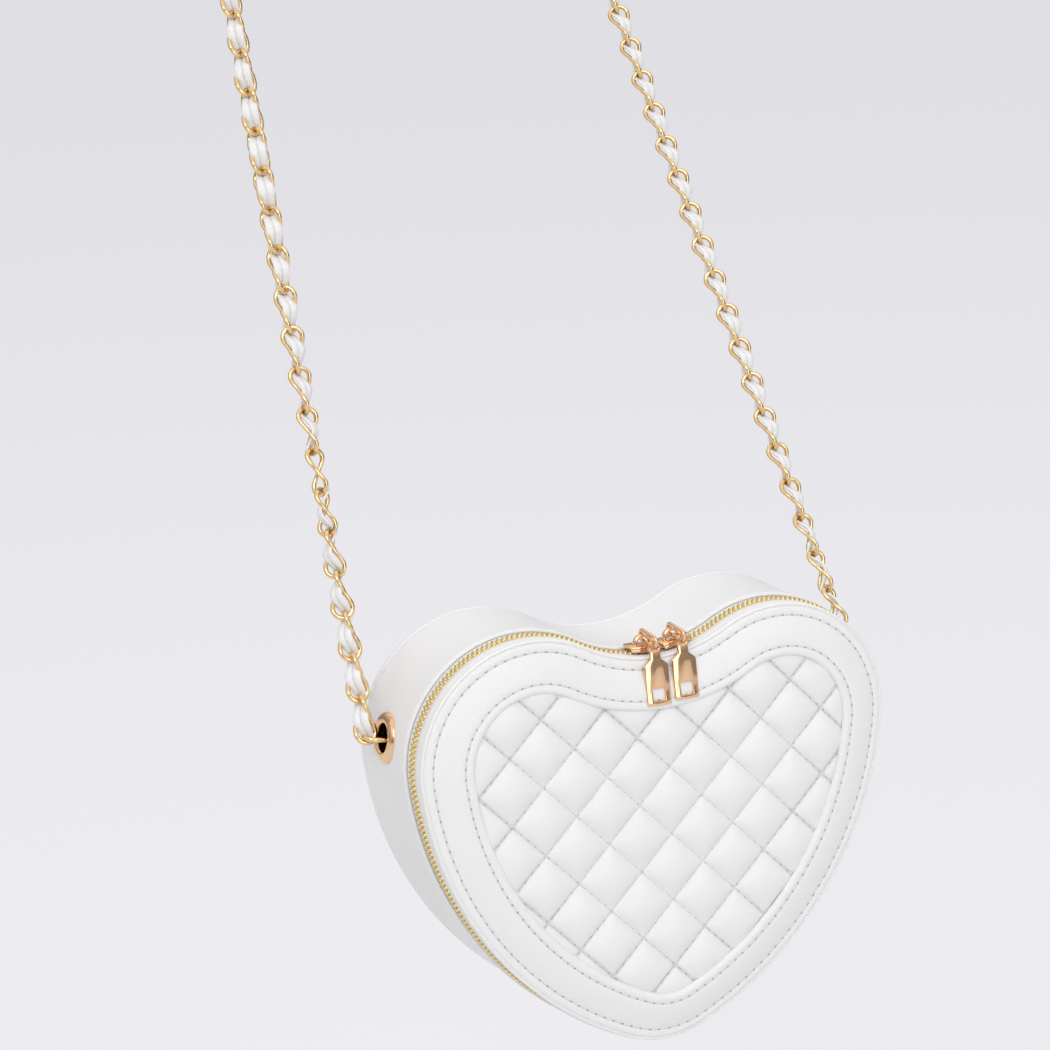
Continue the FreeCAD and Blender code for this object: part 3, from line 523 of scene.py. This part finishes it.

# The hinge: a strip of the same leather under the tip, sewn to the gusset and the border. On the bag it folds
# when the lid comes down; here it is laid in one shape and rides on no body.
hinge_start = -48.0
hinge_places = [place for place in outline_places if near_tip(place, hinge_reach)]
hinge_places = started(hinge_places, lambda x: x < hinge_start)
hinge_profile = [(0.25, 13.6), (0.2, 12.0), (0.45, 10.0), (0.6, 7.0), (0.55, 4.5), (0.7, 3.0), (1.1, 1.9),
                 (2.0, 2.1), (1.6, 4.5), (1.5, 7.0), (1.4, 10.0), (1.3, 12.0), (1.3, 13.6)]
hinge_rows = heart_rows(hinge_profile, hinge_places)
hinge = laid_grid("leather_hinge", hinge_rows, closed=False, joined=True, capped=True)
dress(hinge, body_leather, None)
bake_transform(hinge)
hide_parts("hinge_strip")

# The front border: a padded leather band round the quilted panel. Its outer edge is turned over the board,
# with a crease behind the fold, and its inner edge stands proud as a rounded lip.
border_fold = [(2.6, 1.75), (1.7, 1.6), (1.25, 1.0), (1.3, 0.35), (1.7, -0.1), (2.25, -0.35), (2.5, 0.25),
               (2.65, 0.25)]
border_face = [(2.95, -0.45), (3.8, -0.75), (5.2, -0.95), (5.75, -0.7), (6.25, -0.7), (6.8, -1.2),
               (8.5, -2.0), (10.5, -2.85), (12.5, -3.5), (14.5, -4.0), (16.2, -4.35), (17.25, -4.15),
               (17.75, -4.15)]
border_lip = [(18.4, -4.6), (19.4, -4.85), (20.4, -4.7), (21.1, -4.2), (21.4, -3.5), (21.2, -2.8)]
border_under = [(20.4, -2.2), (18.0, -1.0), (10.0, 1.4)]
border_rows = heart_rows(border_fold + border_face + border_lip + border_under, outline_places)
border = laid_grid("border_band", border_rows, joined=True)
finish_with(border, "SUBSURF", levels=1, render_levels=1)
dress(border, body_leather, "lid")
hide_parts("front_border")

# The border's stitching: two rows of white thread right round the heart, sewn through leather and board.
# Between each two stitches a small dark bead of painted shade stands for the shade in the needle's hole.
stitch_size, shade_bead_share, stitch_lift = (3.4, 0.7, 0.45), (0.45, 1.0, 0.8), 0.08
forwards = Vector((0, -1, 0))
stitch = begun(bpy.ops.mesh.primitive_uv_sphere_add, segments=6, ring_count=4, radius=0.5)
with editing():
    bpy.ops.transform.rotate(value=math.pi / 2, orient_axis="Y", center_override=(0, 0, 0))
    bpy.ops.transform.resize(value=metres(*stitch_size))
bpy.ops.object.shade_smooth()
# The same bead, smaller, for the painted shade of a needle's hole between two stitches.
needle_hole = copies("needle_hole", stitch, [Matrix.Diagonal((*shade_bead_share, 1))])


def thread(name, shade):
    """Twisted sewing thread: matt, with fine slanting ply lines."""
    material, surface, wire, place = new_material(name, Roughness=0.7)
    ply = wire.node("ShaderNodeTexWave", {"bands_direction": "DIAGONAL"}, Vector=place, Scale=900.0,
                    Distortion=1.0)
    feed(surface, "Base Color", blend_colours(wire, ply, tone(shade, 0.85), tone(shade)))
    return material


def painted_hole_shade(name, shade):
    """Painted shade in the mouth of a needle's hole: a dark colour, a little uneven."""
    material, surface, wire, place = new_material(name, Roughness=0.9)
    uneven = wire.node("ShaderNodeTexNoise", Vector=place, Scale=1500.0, Detail=1.0)
    feed(surface, "Base Color", blend_colours(wire, uneven, tone(shade, 0.7), tone(shade, 1.3)))
    return material


def border_front(inset):
    """How far forward the border's face is at an inset."""
    for (a, first), (b, second) in zip(border_face, border_face[1:]):
        if a <= inset <= b:
            return first + (second - first) * (inset - a) / (b - a)


def sewn_way(place, tangent):
    """The turn and place of one stitch that lies along a tangent on the bag's face."""
    return set_along(place, tangent, forwards.cross(tangent), forwards)


def sewn_ring(name, inset, pitch):
    """A row of stitches right round the border at one inset, with a bead of painted hole shade between each
    two.
    """
    depth = border_front(inset) - stitch_lift
    ring = [heart_point(place, inset, depth) for place in heart_places(spacing=0.4)]
    lengths = [0.0]
    for a, b in zip(ring, ring[1:] + ring[:1]):
        lengths.append(lengths[-1] + (b - a).length * 1000)
    count = 2 * round(lengths[-1] / pitch)
    places = [[], []]
    index = 0
    for step in range(count):
        while lengths[index + 1] < step * lengths[-1] / count:
            index += 1
        a, b = ring[index], ring[(index + 1) % len(ring)]
        places[step % 2].append(sewn_way(a, (b - a).normalized()))
    dress(copies(name + "_stitches", stitch, places[0]), white_thread, "lid")
    dress(copies(name + "_needle_holes", needle_hole, places[1]), border_hole, "lid")


white_thread = thread("border_thread", (0.8, 0.795, 0.79))
# Painted shade: the dark colour of these beads stands for the shade inside the border's needle holes.
border_hole = painted_hole_shade("border_hole", (0.42, 0.415, 0.41))
sewn_ring("outer", inset=6.0, pitch=4.2)
sewn_ring("inner", inset=17.5, pitch=3.9)

# The quilted panel: the same leather over wadding, sewn through in a diamond grid before it is set in the
# border's opening. Cloth under pressure swells between the pinned seams, as the wadding makes it do.
quilt_pitch, quilt_cross, quilt_cells = 18.8, (2.6, 112.0), 5
quilt_inset, lip_cover = 16.6, 3.8
seam_depth, seam_share, crown_height, crown_reach = -2.3, 0.004, 0.6, 30.0
swell_height, swell_frames, swell_level, swell_most, swell_power = 3.3, 20, 98, 1.05, 0.8
cell_steps = [0.0, 0.5, 1.4, 3.0, 5.7, 9.4, 13.1, 15.8, 17.4, 18.3]
slant = math.sqrt(0.5)


def quilt_point(a, b, depth):
    """A point of the panel from its distances along the rising and the falling seams."""
    return spot(quilt_cross[0] + (a + b) * slant, depth, quilt_cross[1] + (a - b) * slant)


panel_outline = heart_rows([(quilt_inset, 0)], heart_places(spacing=0.8))[0]
panel_outline = np.array([(point.x, point.z) for point in panel_outline])


def inside_depth(points):
    """How far each point lies inside the quilted panel's edge, in millimetres; outside is negative."""
    near = np.full(len(points), np.inf)
    inside = np.zeros(len(points), dtype=bool)
    for a, b in zip(panel_outline, np.roll(panel_outline, -1, axis=0)):
        near = np.minimum(near, np.hypot(points[:, 0] - a[0], points[:, 1] - a[1]))
        if a[1] != b[1]:
            crosses = (a[1] > points[:, 1]) != (b[1] > points[:, 1])
            level = (points[:, 1] - a[1]) / (b[1] - a[1])
            inside ^= crosses & (points[:, 0] < a[0] + level * (b[0] - a[0]))
    return np.where(inside, near, -near) * 1000


def mesh_points(piece):
    """The vertices of a piece as an array."""
    points = np.empty(len(piece.data.vertices) * 3)
    piece.data.vertices.foreach_get("co", points)
    return points.reshape(-1, 3)


quilt_lines = [cell * quilt_pitch + step for cell in range(-quilt_cells, quilt_cells) for step in cell_steps]
quilt_lines.append(quilt_cells * quilt_pitch)
quilt_rows = [[quilt_point(a, b, seam_depth) for a in quilt_lines] for b in quilt_lines]
quilt = laid_grid("quilted_face", quilt_rows, closed=False)
depth_in = inside_depth(mesh_points(quilt)[:, [0, 2]])
cut_away(quilt, "VERT", lambda vertex: depth_in[vertex.index] < 0)
if quilt.data.polygons[0].normal.y > 0:
    quilt.data.flip_normals()
laid = mesh_points(quilt)
depth_in = inside_depth(laid[:, [0, 2]])
quilt_x = (laid[:, 0] - tip.x) * 1000 - quilt_cross[0]
quilt_z = (laid[:, 2] - tip.z) * 1000 - quilt_cross[1]
rising = (quilt_x + quilt_z) * slant / quilt_pitch
falling = (quilt_x - quilt_z) * slant / quilt_pitch
off_seam = np.minimum(np.abs(rising - np.round(rising)), np.abs(falling - np.round(falling)))
held = (off_seam < seam_share) | (depth_in < lip_cover)
seams = quilt.vertex_groups.new(name="seams")
seams.add([int(index) for index in np.nonzero(held)[0]], 1.0, "ADD")
cloth = quilt.modifiers.new("wadding", "CLOTH")
set_all(cloth.settings, quality=6, mass=0.25, tension_stiffness=12, compression_stiffness=12,
        bending_stiffness=0.4, use_pressure=True, uniform_pressure_force=4.0, vertex_group_mass="seams")
set_all(cloth.settings.effector_weights, gravity=0.0)
set_all(cloth.point_cache, frame_start=1, frame_end=swell_frames)
for step in range(1, swell_frames + 1):
    bpy.context.scene.frame_set(step)
pick(quilt)
bpy.ops.object.modifier_apply(modifier=cloth.name)
bpy.context.scene.frame_set(1)
quilt.vertex_groups.clear()
rise = np.clip(laid[:, 1] - mesh_points(quilt)[:, 1], 0, None)
rise = np.clip(rise / np.percentile(rise, swell_level), 0, swell_most) ** swell_power
laid[:, 1] -= (rise * swell_height + crown_height * np.clip(depth_in / crown_reach, 0, 1)) / 1000
quilt.data.vertices.foreach_set("co", laid.ravel())
quilt.data.update()
finish_with(quilt, "SUBSURF", levels=1, render_levels=1)
bpy.ops.object.shade_smooth()
quilt_leather = white_leather("quilt_leather", 0.4, leather_shade)
dress(quilt, quilt_leather, "lid")
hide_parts("quilted_panel", "quilt_wadding")

# The quilting's stitches: the same thread, sewn through leather and wadding along both sets of seams. They
# stop where the border's lip covers the panel, and a bead of painted shade for a needle's hole lies between
# each two.
seam_pitch, seam_lift, seam_stop, seam_half = 4.0, 0.75, 1.2, 40
seam_places = [[], []]
for line in range(-quilt_cells, quilt_cells):
    for falls in (True, False):
        tangent = Vector((slant, 0, -slant if falls else slant))
        for step in range(-seam_half, seam_half):
            run = (step + 0.5) * seam_pitch / 2
            a, b = (line * quilt_pitch, run) if falls else (run, line * quilt_pitch)
            seam_places[step % 2].append(sewn_way(quilt_point(a, b, seam_depth - seam_lift), tangent))
for kind, places in enumerate(seam_places):
    depths = inside_depth(np.array([(place[0][3], place[2][3]) for place in places]))
    seam_places[kind] = [place for place, depth in zip(places, depths) if depth > lip_cover + seam_stop]
# Painted shade for the seams' needle holes, lighter than the border's because the seams show less shade.
seam_hole = painted_hole_shade("seam_hole", (0.6, 0.595, 0.59))
dress(copies("seam_stitches", stitch, seam_places[0]), white_thread, "lid")
dress(copies("seam_needle_holes", needle_hole, seam_places[1]), seam_hole, "lid")
discard(stitch)
discard(needle_hole)

# The lid's lining: the same woven cloth as in the bag, glued over the back of the front board and turned
# round the board's edge.
lid_flat = 3.15
lid_profile = [(2.3, 1.9), (2.2, 2.7), (2.6, 3.1), (9.0, lid_flat)]
lid_lining = laid_grid("lid_lining", covered(heart_rows(lid_profile, lining_places), lining_shares, lid_flat))
finish_with(lid_lining, "SOLIDIFY", thickness=0.0003, offset=0.0)
dress(lid_lining, lining_cloth, "lid")
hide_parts("front_lining", "front_board")

# The sliders: two die-cast zip sliders that meet nose to nose in the cleft. Each has a plate above the
# teeth and one below, side flanges, a post in the nose that joins the plates, and an arched bail on top.
teeth_middle = cleft_z - cleft_radius - tooth_inset
tooth_half, over_teeth, under_teeth = 1.35, 0.9, 0.7
plate_low, under_high = teeth_middle + tooth_half + over_teeth, teeth_middle - tooth_half - under_teeth
slider_wide, plate_thick, plate_edge, tail_share = 8.6, 1.4, 0.45, 0.82
post_size, post_back, post_edge = (2.0, 1.6, plate_low - under_high + 0.6), -4.8, 0.3
flange_size, flange_drop, flange_edge, flange_taper = (slider_length - 0.8, 1.0, 1.2), 0.4, 0.25, 1.5
bail_bend, bail_wire, bail_wide, bail_foot, bail_back = 3.4, 0.85, 1.35, 0.4, 0.3


def rounded_block(size, centre, edge, tail=1.0):
    """A block with rounded edges, its far end along X narrowed to a share of its width."""
    narrows_at, end_at = 0.1, 0.4
    block = begun(bpy.ops.mesh.primitive_cube_add, size=1)
    with editing():
        bpy.ops.transform.resize(value=metres(*size))
        bpy.ops.mesh.bisect(plane_co=metres(size[0] * narrows_at, 0, 0), plane_no=(1, 0, 0))
    for vertex in block.data.vertices:
        if vertex.co.x > size[0] * end_at / 1000:
            vertex.co.y *= tail
        vertex.co += metres(*centre)
    finish_with(block, "BEVEL", width=edge / 1000, segments=2, limit_method="ANGLE")
    return block


def wire_loop(bend, wire, straight, turns, sides):
    """A closed loop of round wire in the X and Z plane: two half circles and two straight sides."""
    loop = begun(bpy.ops.mesh.primitive_torus_add, major_radius=bend / 1000, minor_radius=wire / 1000,
                 major_segments=turns, minor_segments=sides)
    with editing():
        bpy.ops.transform.rotate(value=math.pi / turns, orient_axis="Z", center_override=(0, 0, 0))
        bpy.ops.transform.rotate(value=math.pi / 2, orient_axis="X", center_override=(0, 0, 0))
    for vertex in loop.data.vertices:
        vertex.co.z += math.copysign(straight / 2000, vertex.co.z)
    bpy.ops.object.shade_smooth()
    return loop


slider_parts = []
for height in (plate_low + plate_thick / 2, under_high - plate_thick / 2):
    slider_parts.append(rounded_block((slider_length, slider_wide, plate_thick), (0, zip_depth, height),
                                      plate_edge, tail_share))
slider_parts.append(rounded_block(post_size, (post_back, zip_depth, (plate_low + under_high) / 2), post_edge))
for way in (-1, 1):
    flange_depth = zip_depth + way * (slider_wide - flange_size[1]) / 2
    for height in (plate_low - flange_drop, under_high + flange_drop):
        flange = rounded_block(flange_size, (0, flange_depth, height), flange_edge)
        for vertex in flange.data.vertices:
            if vertex.co.x > flange_taper / 1000:
                vertex.co.y = (zip_depth + (vertex.co.y * 1000 - zip_depth) * tail_share) / 1000
        slider_parts.append(flange)
bail = wire_loop(bail_bend, bail_wire, straight=0.0, turns=32, sides=12)
with editing():
    bpy.ops.mesh.select_all(action="SELECT")
    bpy.ops.mesh.bisect(plane_co=metres(0, 0, -bail_foot), plane_no=(0, 0, 1), clear_inner=True,
                        use_fill=True)
for vertex in bail.data.vertices:
    vertex.co.y *= bail_wide
    vertex.co += metres(-bail_back, zip_depth, plate_low + plate_thick)
slider_model = one_piece("slider_model", slider_parts + [bail])
bpy.ops.object.shade_smooth_by_angle(angle=math.radians(50))
cleft_axis = metres(0, zip_depth, cleft_z)
to_cleft, from_cleft = Matrix.Translation(cleft_axis), Matrix.Translation(-cleft_axis)
slider_places = {}
for side, run in slider_runs.items():
    round_cleft = Matrix.Rotation(-run / (cleft_radius + tooth_inset), 4, "Y")
    place = Matrix.Translation(tip) @ to_cleft @ round_cleft @ from_cleft
    slider_places[side] = place
    if side == "left":
        place = place @ to_cleft @ Matrix.Rotation(math.pi, 4, "Z") @ from_cleft
    slider = copies("zip_slider_" + side, slider_model, [place])
    dress(slider, fitting_gold, "slider_" + side)
    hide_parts("slider_" + side)
discard(slider_model)

# The connector rings: oval rings of plated wire. Each hangs on a slider's bail and reaches forward over the
# border's edge, where it holds the eye of a pull.
ring_bend, ring_wire, ring_reach, ring_droop = 2.0, 0.7, 9.4, math.radians(4)
ring_model = wire_loop(ring_bend, ring_wire, ring_reach, turns=28, sides=10)
for vertex in ring_model.data.vertices:
    vertex.co = Vector((vertex.co.y, vertex.co.z - ring_reach / 2000, vertex.co.x))
ring_model.data.flip_normals()
pull_eyes = {}
for side, sign in both_sides.items():
    start = slider_places[side] @ metres(-sign * bail_back, zip_depth, plate_low + plate_thick + bail_bend)
    slope = Matrix.Translation(start) @ Matrix.Rotation(ring_droop, 4, "X")
    ring = copies("connector_ring_" + side, ring_model, [slope])
    dress(ring, fitting_gold, "pull_ring_" + side)
    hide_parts("pull_ring_" + side)
    pull_eyes[side] = slope @ metres(0, -ring_reach, -ring_bend)
discard(ring_model)

# The pulls: cast plates with an eye on a short neck, sloping shoulders and a square window low down. Their
# edges are bevelled and their faces very slightly domed by the polishing.
pull_width, pull_length, pull_thick, pull_edge, pull_dome = 10.2, 22.2, 1.2, 0.28, 0.34
neck_width, neck_length, shoulder, neck_stop = 4.2, 7.0, 2.4, 1.5
window_width, window_height, window_margin, pull_lean = 5.2, 5.0, 1.6, math.radians(9)
eye_bend, eye_wire, level_within = 1.85, 0.65, 0.01
window_low, window_high = window_margin - pull_length, window_margin + window_height - pull_length
cuts = [((x, 0, 0), (1, 0, 0)) for x in (-window_width / 2, 0, window_width / 2)]
cuts += [((0, y, 0), (0, 1, 0)) for y in (window_low, window_high)]
pull_model = begun(bpy.ops.mesh.primitive_plane_add, size=1)
with editing():
    bpy.ops.transform.resize(value=metres(pull_width, pull_length - neck_length, 1))
    bpy.ops.transform.translate(value=metres(0, -(pull_length + neck_length) / 2, 0))
    for place, normal in cuts:
        bpy.ops.mesh.select_all(action="SELECT")
        bpy.ops.mesh.bisect(plane_co=metres(*place), plane_no=normal)
cut_away(pull_model, "FACE", lambda face: (abs(face.center.x) < window_width / 2000
                                           and window_low / 1000 < face.center.y < window_high / 1000))
for lift, share in ((shoulder, neck_width / pull_width), (neck_length - shoulder - neck_stop, 1.0)):
    with editing():
        bpy.ops.mesh.select_mode(type="EDGE")
        bpy.ops.mesh.select_all(action="DESELECT")
    corners = pull_model.data.vertices
    top = max(corner.co.y for corner in corners)
    for edge in pull_model.data.edges:
        edge.select = all(corners[index].co.y > top - level_within / 1000 for index in edge.vertices)
    with editing():
        bpy.ops.mesh.extrude_region_move(TRANSFORM_OT_translate={"value": metres(0, lift, 0)})
        bpy.ops.transform.resize(value=(share, 1, 1), center_override=(0, 0, 0))
finish_with(pull_model, "SOLIDIFY", thickness=pull_thick / 1000, offset=0.0)
finish_with(pull_model, "BEVEL", width=pull_edge / 1000, segments=2, limit_method="ANGLE",
            angle_limit=math.radians(40))
pull_eye = wire_loop(eye_bend, eye_wire, straight=0.0, turns=28, sides=8)
with editing():
    bpy.ops.mesh.select_all(action="SELECT")
    bpy.ops.transform.rotate(value=math.pi / 2, orient_axis="X", center_override=(0, 0, 0))
pull_model = one_piece("pull_model", [pull_model, pull_eye])
bpy.ops.object.shade_smooth_by_angle(angle=math.radians(35))
for vertex in pull_model.data.vertices:
    flat = vertex.co.copy()
    beside = min(1.0, abs(flat.x) / (pull_width / 2000))
    dome = pull_dome / 1000 * (1 - beside ** 2) if flat.z > 0 else 0.0
    vertex.co = Vector((flat.x, -flat.z - dome, flat.y))
for side in both_sides:
    place = Matrix.Translation(pull_eyes[side]) @ Matrix.Rotation(-pull_lean, 4, "X")
    pull = copies("zip_pull_" + side, pull_model, [place])
    dress(pull, fitting_gold, "pull_" + side)
    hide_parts("pull_" + side)
discard(pull_model)

# The chain strap: a curb chain of plated wire. Every link is twisted a quarter turn from end to end, so
# each hooks squarely through the next and all of them face the same way.
link_length, link_wire, link_bend, link_pitch = 20.0, 0.95, 3.75, 16.1
link_straight = link_length - 2 * (link_bend + link_wire)
link_waist, waist_reach, waist_power, twist_reach, twist_cut = 1.25, 4.4, 1.3, 6.5, 1.5
left_count, arch_count, right_count = 24, 20, 27
arch_radius = link_pitch / (2 * math.sin(math.pi / (2 * arch_count)))
foot_out, foot_lift, hook_gap = 6.7, 0.1, 0.1
left_lean, right_lean, left_drift, settling_rounds = math.radians(23), math.radians(33), 4.0, 30


def strap_foot(side):
    """Where the first link of a leg hangs in the end link outside its eyelet."""
    return eyelet_spots[side] + Vector((both_sides[side] * foot_out, 0, foot_lift))


def leg_top(side, count, lean, x):
    """Where a leg ends, given how far across it does and how far back it leans."""
    foot = strap_foot(side)
    rise = math.sqrt((count * link_pitch) ** 2 - (x - foot.x) ** 2)
    return Vector((x, foot.y + rise * math.sin(lean), foot.z + rise * math.cos(lean)))


left_foot, right_foot = strap_foot("left"), strap_foot("right")
left_top = leg_top("left", left_count, left_lean, left_foot.x + left_drift)
right_top = leg_top("right", right_count, right_lean, -left_top.x)
for settling in range(settling_rounds):
    apart = math.hypot(right_top.y - left_top.y, right_top.z - left_top.z)
    right_top = leg_top("right", right_count, right_lean,
                        left_top.x + math.sqrt((2 * arch_radius) ** 2 - apart ** 2))
arch_across = (right_top - left_top).normalized()
arch_rise = (left_top - left_foot).normalized() + (right_top - right_foot).normalized()
arch_rise = (arch_rise - arch_across * arch_rise.dot(arch_across)).normalized()
arch_normal = arch_rise.cross(arch_across)
arch_middle = (left_top + right_top) / 2
strap_line = [left_foot.lerp(left_top, step / left_count) for step in range(left_count)]
for step in range(arch_count + 1):
    turn = math.pi * (1 - step / arch_count)
    strap_line.append(arch_middle + arch_across * (arch_radius * math.cos(turn))
                      + arch_rise * (arch_radius * math.sin(turn)))
strap_line += [right_top.lerp(right_foot, step / right_count) for step in range(1, right_count + 1)]
arch_from, arch_to, strap_last = left_count, left_count + arch_count, len(strap_line) - 1
strap_turns = [(0, 135), (2, 131), (4.2, 100), (6, 68), (8, 36), (10.4, 2), (13.5, -24), (16, -49), (18, -49),
               (24, -25), (34, 0), (44, 0), (63, -6), (66, -25), (69, -62), (71, -110)]


def strap_frame(place):
    """Across, square to and along the strap, at a distance along it counted in links."""
    index = min(int(place), strap_last - 1)
    direction = (strap_line[index + 1] - strap_line[index]).normalized()
    share, square = 1.0, arch_normal
    if place < arch_from:
        share, square = place / arch_from, Vector((0, math.cos(left_lean), -math.sin(left_lean)))
    if place > arch_to:
        share = (strap_last - place) / (strap_last - arch_to)
        square = Vector((0, math.cos(right_lean), -math.sin(right_lean)))
    square = square * (1 - share) + arch_normal * share
    wide = square.cross(direction).normalized()
    square = direction.cross(wide)
    for (a, first), (b, second) in zip(strap_turns, strap_turns[1:]):
        if a <= place <= b:
            turn = math.radians(first + (second - first) * (place - a) / (b - a))
    spin = Matrix.Rotation(turn, 3, direction)
    return spin @ wide, spin @ square, direction


end_link = wire_loop(link_bend, link_wire, link_straight, turns=36, sides=10)
link = wire_loop(link_bend, link_wire, link_straight, turns=36, sides=10)
with editing():
    for step in range(-3, 4):
        bpy.ops.mesh.select_all(action="SELECT")
        bpy.ops.mesh.bisect(plane_co=metres(0, 0, step * twist_cut), plane_no=(0, 0, 1))
for vertex in link.data.vertices:
    height = vertex.co.z * 1000
    waist = link_waist * (1 - min(abs(height) / waist_reach, 1.0)) ** waist_power
    vertex.co.x -= math.copysign(waist / 1000, vertex.co.x)
    twist = -math.pi / 4 * math.sin(max(-1.0, min(1.0, height / twist_reach)) * math.pi / 2)
    vertex.co = Matrix.Rotation(twist, 3, "Z") @ vertex.co
chain_gold = plated_gold("chain_gold", (0.8, 0.56, 0.28), (0.88, 0.66, 0.37), 0.06)
stretches = {"left_leg": (0, arch_from), "shoulder": (arch_from, arch_to), "right_leg": (arch_to, strap_last)}
for name, (first, stop) in stretches.items():
    places = []
    for index in range(first, stop):
        middle = (strap_line[index] + strap_line[index + 1]) / 2
        places.append(set_along(spot(*middle), *strap_frame(index + 0.5)))
    chain = copies("curb_chain_" + name, link, places)
    if name != "shoulder":
        side = name.removesuffix("_leg")
        outward, wide = eyelet_ways[side], Vector((0, 1, 0))
        hook = strap_foot(side) + Vector((0, 0, link_wire + hook_gap))
        middle = hook - outward * (link_length / 2 - 2 * link_wire - hook_gap)
        tail = copies("tail", end_link, [set_along(spot(*middle), wide, outward.cross(wide), outward)])
        chain = one_piece("curb_chain_" + name, [chain, tail])
    dress(chain, chain_gold, "strap")
    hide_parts("chain_" + name)
discard(link)
discard(end_link)

# The keeper rings: plated wire rings inside the bag, too big for the eyelets' holes, that hold the chain's
# end links. Their solids have the right shape and only take the chain's finish.
for side in both_sides:
    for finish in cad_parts["keeper_ring_" + side].material_slots:
        finish.material = chain_gold

# The ribbon: a strip of the white leather folded to the middle, laced through the chain. It comes forward
# in each link and passes behind where two links hook, and its ends are tucked into the last links.
ribbon_shape = [(-0.5, 0.0), (-0.46, -0.34), (-0.28, -0.5), (-0.1, -0.48), (-0.045, -0.36), (0.0, 0.1),
                (0.045, -0.36), (0.1, -0.48), (0.28, -0.5), (0.46, -0.34), (0.5, 0.0), (0.36, 0.36),
                (0.0, 0.42), (-0.36, 0.36)]
ribbon_steps, ribbon_turns_over = 8, 6
ribbon_narrow, ribbon_spread, ribbon_pinch, ribbon_thick, ribbon_fill = 4.7, 1.9, 1.2, 1.5, 0.3
ribbon_sway, ribbon_swing, forward_power, spread_power = 2.7, 1.75, 1.4, 0.8


def along_strap(place):
    """The point of the strap's line at a distance along it counted in links."""
    index = min(int(place), strap_last - 1)
    return strap_line[index].lerp(strap_line[index + 1], place - index)


for name, (first, stop) in stretches.items():
    rows = []
    for step in range((stop - first) * ribbon_steps + 1):
        place = first + step / ribbon_steps
        share = place - math.floor(place)
        forward = math.sin(math.pi * share) ** forward_power
        wide, square, direction = strap_frame(place)
        facing = 1 if place > ribbon_turns_over else -1
        sway = facing * ribbon_sway * (1 - ribbon_swing * forward)
        width = ribbon_narrow + ribbon_spread * forward ** spread_power
        if ribbon_turns_over <= place < ribbon_turns_over + 1:
            sway = -ribbon_sway * math.cos(math.pi * share)
            width = ribbon_narrow - ribbon_pinch * forward
        middle = along_strap(place) + square * sway
        thick = (ribbon_thick + ribbon_fill * forward) * facing
        rows.append([spot(*(middle + wide * (a * width) + square * (b * thick))) for a, b in ribbon_shape])
    ribbon = laid_grid("leather_ribbon_" + name, rows, capped=True)
    dress(ribbon, body_leather, "strap")
    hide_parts("ribbon_" + name)

# The floor: pale matt paper well below the bag. Seen by the camera or mirrored in the metal it is a little
# lighter than its light alone would make it.
floor_metres, floor_drop = 60, 260
floor = begun(bpy.ops.mesh.primitive_plane_add, size=floor_metres, location=spot(0, 0, -floor_drop))
floor.name = "floor"
floor_paper, surface, wire = new_material("floor_paper", Base_Color=(0.75, 0.75, 0.755, 1), Roughness=0.9,
                                          Specular_IOR_Level=0.0, Emission_Strength=1.0)[:3]
camera_ray, glossy_ray, passing_ray = [wire.node("ShaderNodeLightPath", output="Is " + kind + " Ray")
                                       for kind in ("Camera", "Glossy", "Transmission")]
seen = wire.maths("MINIMUM", camera_ray + glossy_ray + passing_ray, 1.0)
feed(surface, "Emission Color", blend_colours(wire, seen, (0, 0, 0, 1), (0.09, 0.08, 0.1, 1)))
floor.data.materials.append(floor_paper)

# The light: a soft sky that is dark at the horizon and white overhead, a large soft box from the upper left,
# and two weaker ones from the front and the left side.
world = bpy.data.worlds.new("studio")
bpy.context.scene.world = world
world.use_nodes = True
sky = world.node_tree.nodes["Background"]
sky.inputs["Strength"].default_value = 1.0
wire = Wire(world.node_tree, None)
height = wire.node("ShaderNodeSeparateXYZ", output="Z", Vector=wire.node("ShaderNodeTexCoord"))
lightness = wire.node("ShaderNodeMapRange", {"interpolation_type": "SMOOTHSTEP"}, Value=height,
                      From_Min=0.08, From_Max=0.7, To_Min=0.0, To_Max=1.0)
feed(sky, "Color", blend_colours(wire, lightness, (0.3, 0.29, 0.29, 1), (0.99, 0.99, 1.0, 1)))


def soft_box(name, place, aim, size, power):
    """A square soft box at a place, turned to face the bag."""
    data = bpy.data.lights.new(name, "AREA")
    set_all(data, size=size, spread=math.pi / 2, energy=power)
    light = bpy.data.objects.new(name, data)
    light.location = place
    light.rotation_euler = (aim - place).to_track_quat("-Z", "Y").to_euler()
    bpy.context.collection.objects.link(light)


soft_box("key_light", spot(-3000, -3400, 3800), aim=spot(0, 0, 100), size=3.2, power=21.5)
soft_box("front_light", spot(300, -4600, 1200), aim=spot(0, 0, 100), size=2.4, power=9.8)
soft_box("side_light", spot(-4400, 600, 1800), aim=spot(-80, 30, 100), size=3.2, power=1.7)

# The camera: at the photograph's place and angle, in front of the bag, to its left and above it. Half the
# picture's width and the lens's focal length are in the photograph's pixels.
half_picture, focal_length = 525, 3130.57
camera_turn, camera_tilt, camera_roll = math.radians(-24.385), math.radians(12.262), math.radians(-2.164)
camera_data = bpy.data.cameras.new("camera")
set_all(camera_data, sensor_fit="HORIZONTAL", angle=2 * math.atan(half_picture / focal_length), clip_end=200)
camera = bpy.data.objects.new("camera", camera_data)
camera.matrix_world = (Matrix.Translation(spot(-517.8, -1025.9, 457.5)) @ Matrix.Rotation(camera_turn, 4, "Z")
                       @ Matrix.Rotation(math.pi / 2 - camera_tilt, 4, "X")
                       @ Matrix.Rotation(camera_roll, 4, "Z"))
bpy.context.collection.objects.link(camera)
bpy.context.scene.camera = camera
bpy.context.scene.view_settings.view_transform = "Standard"
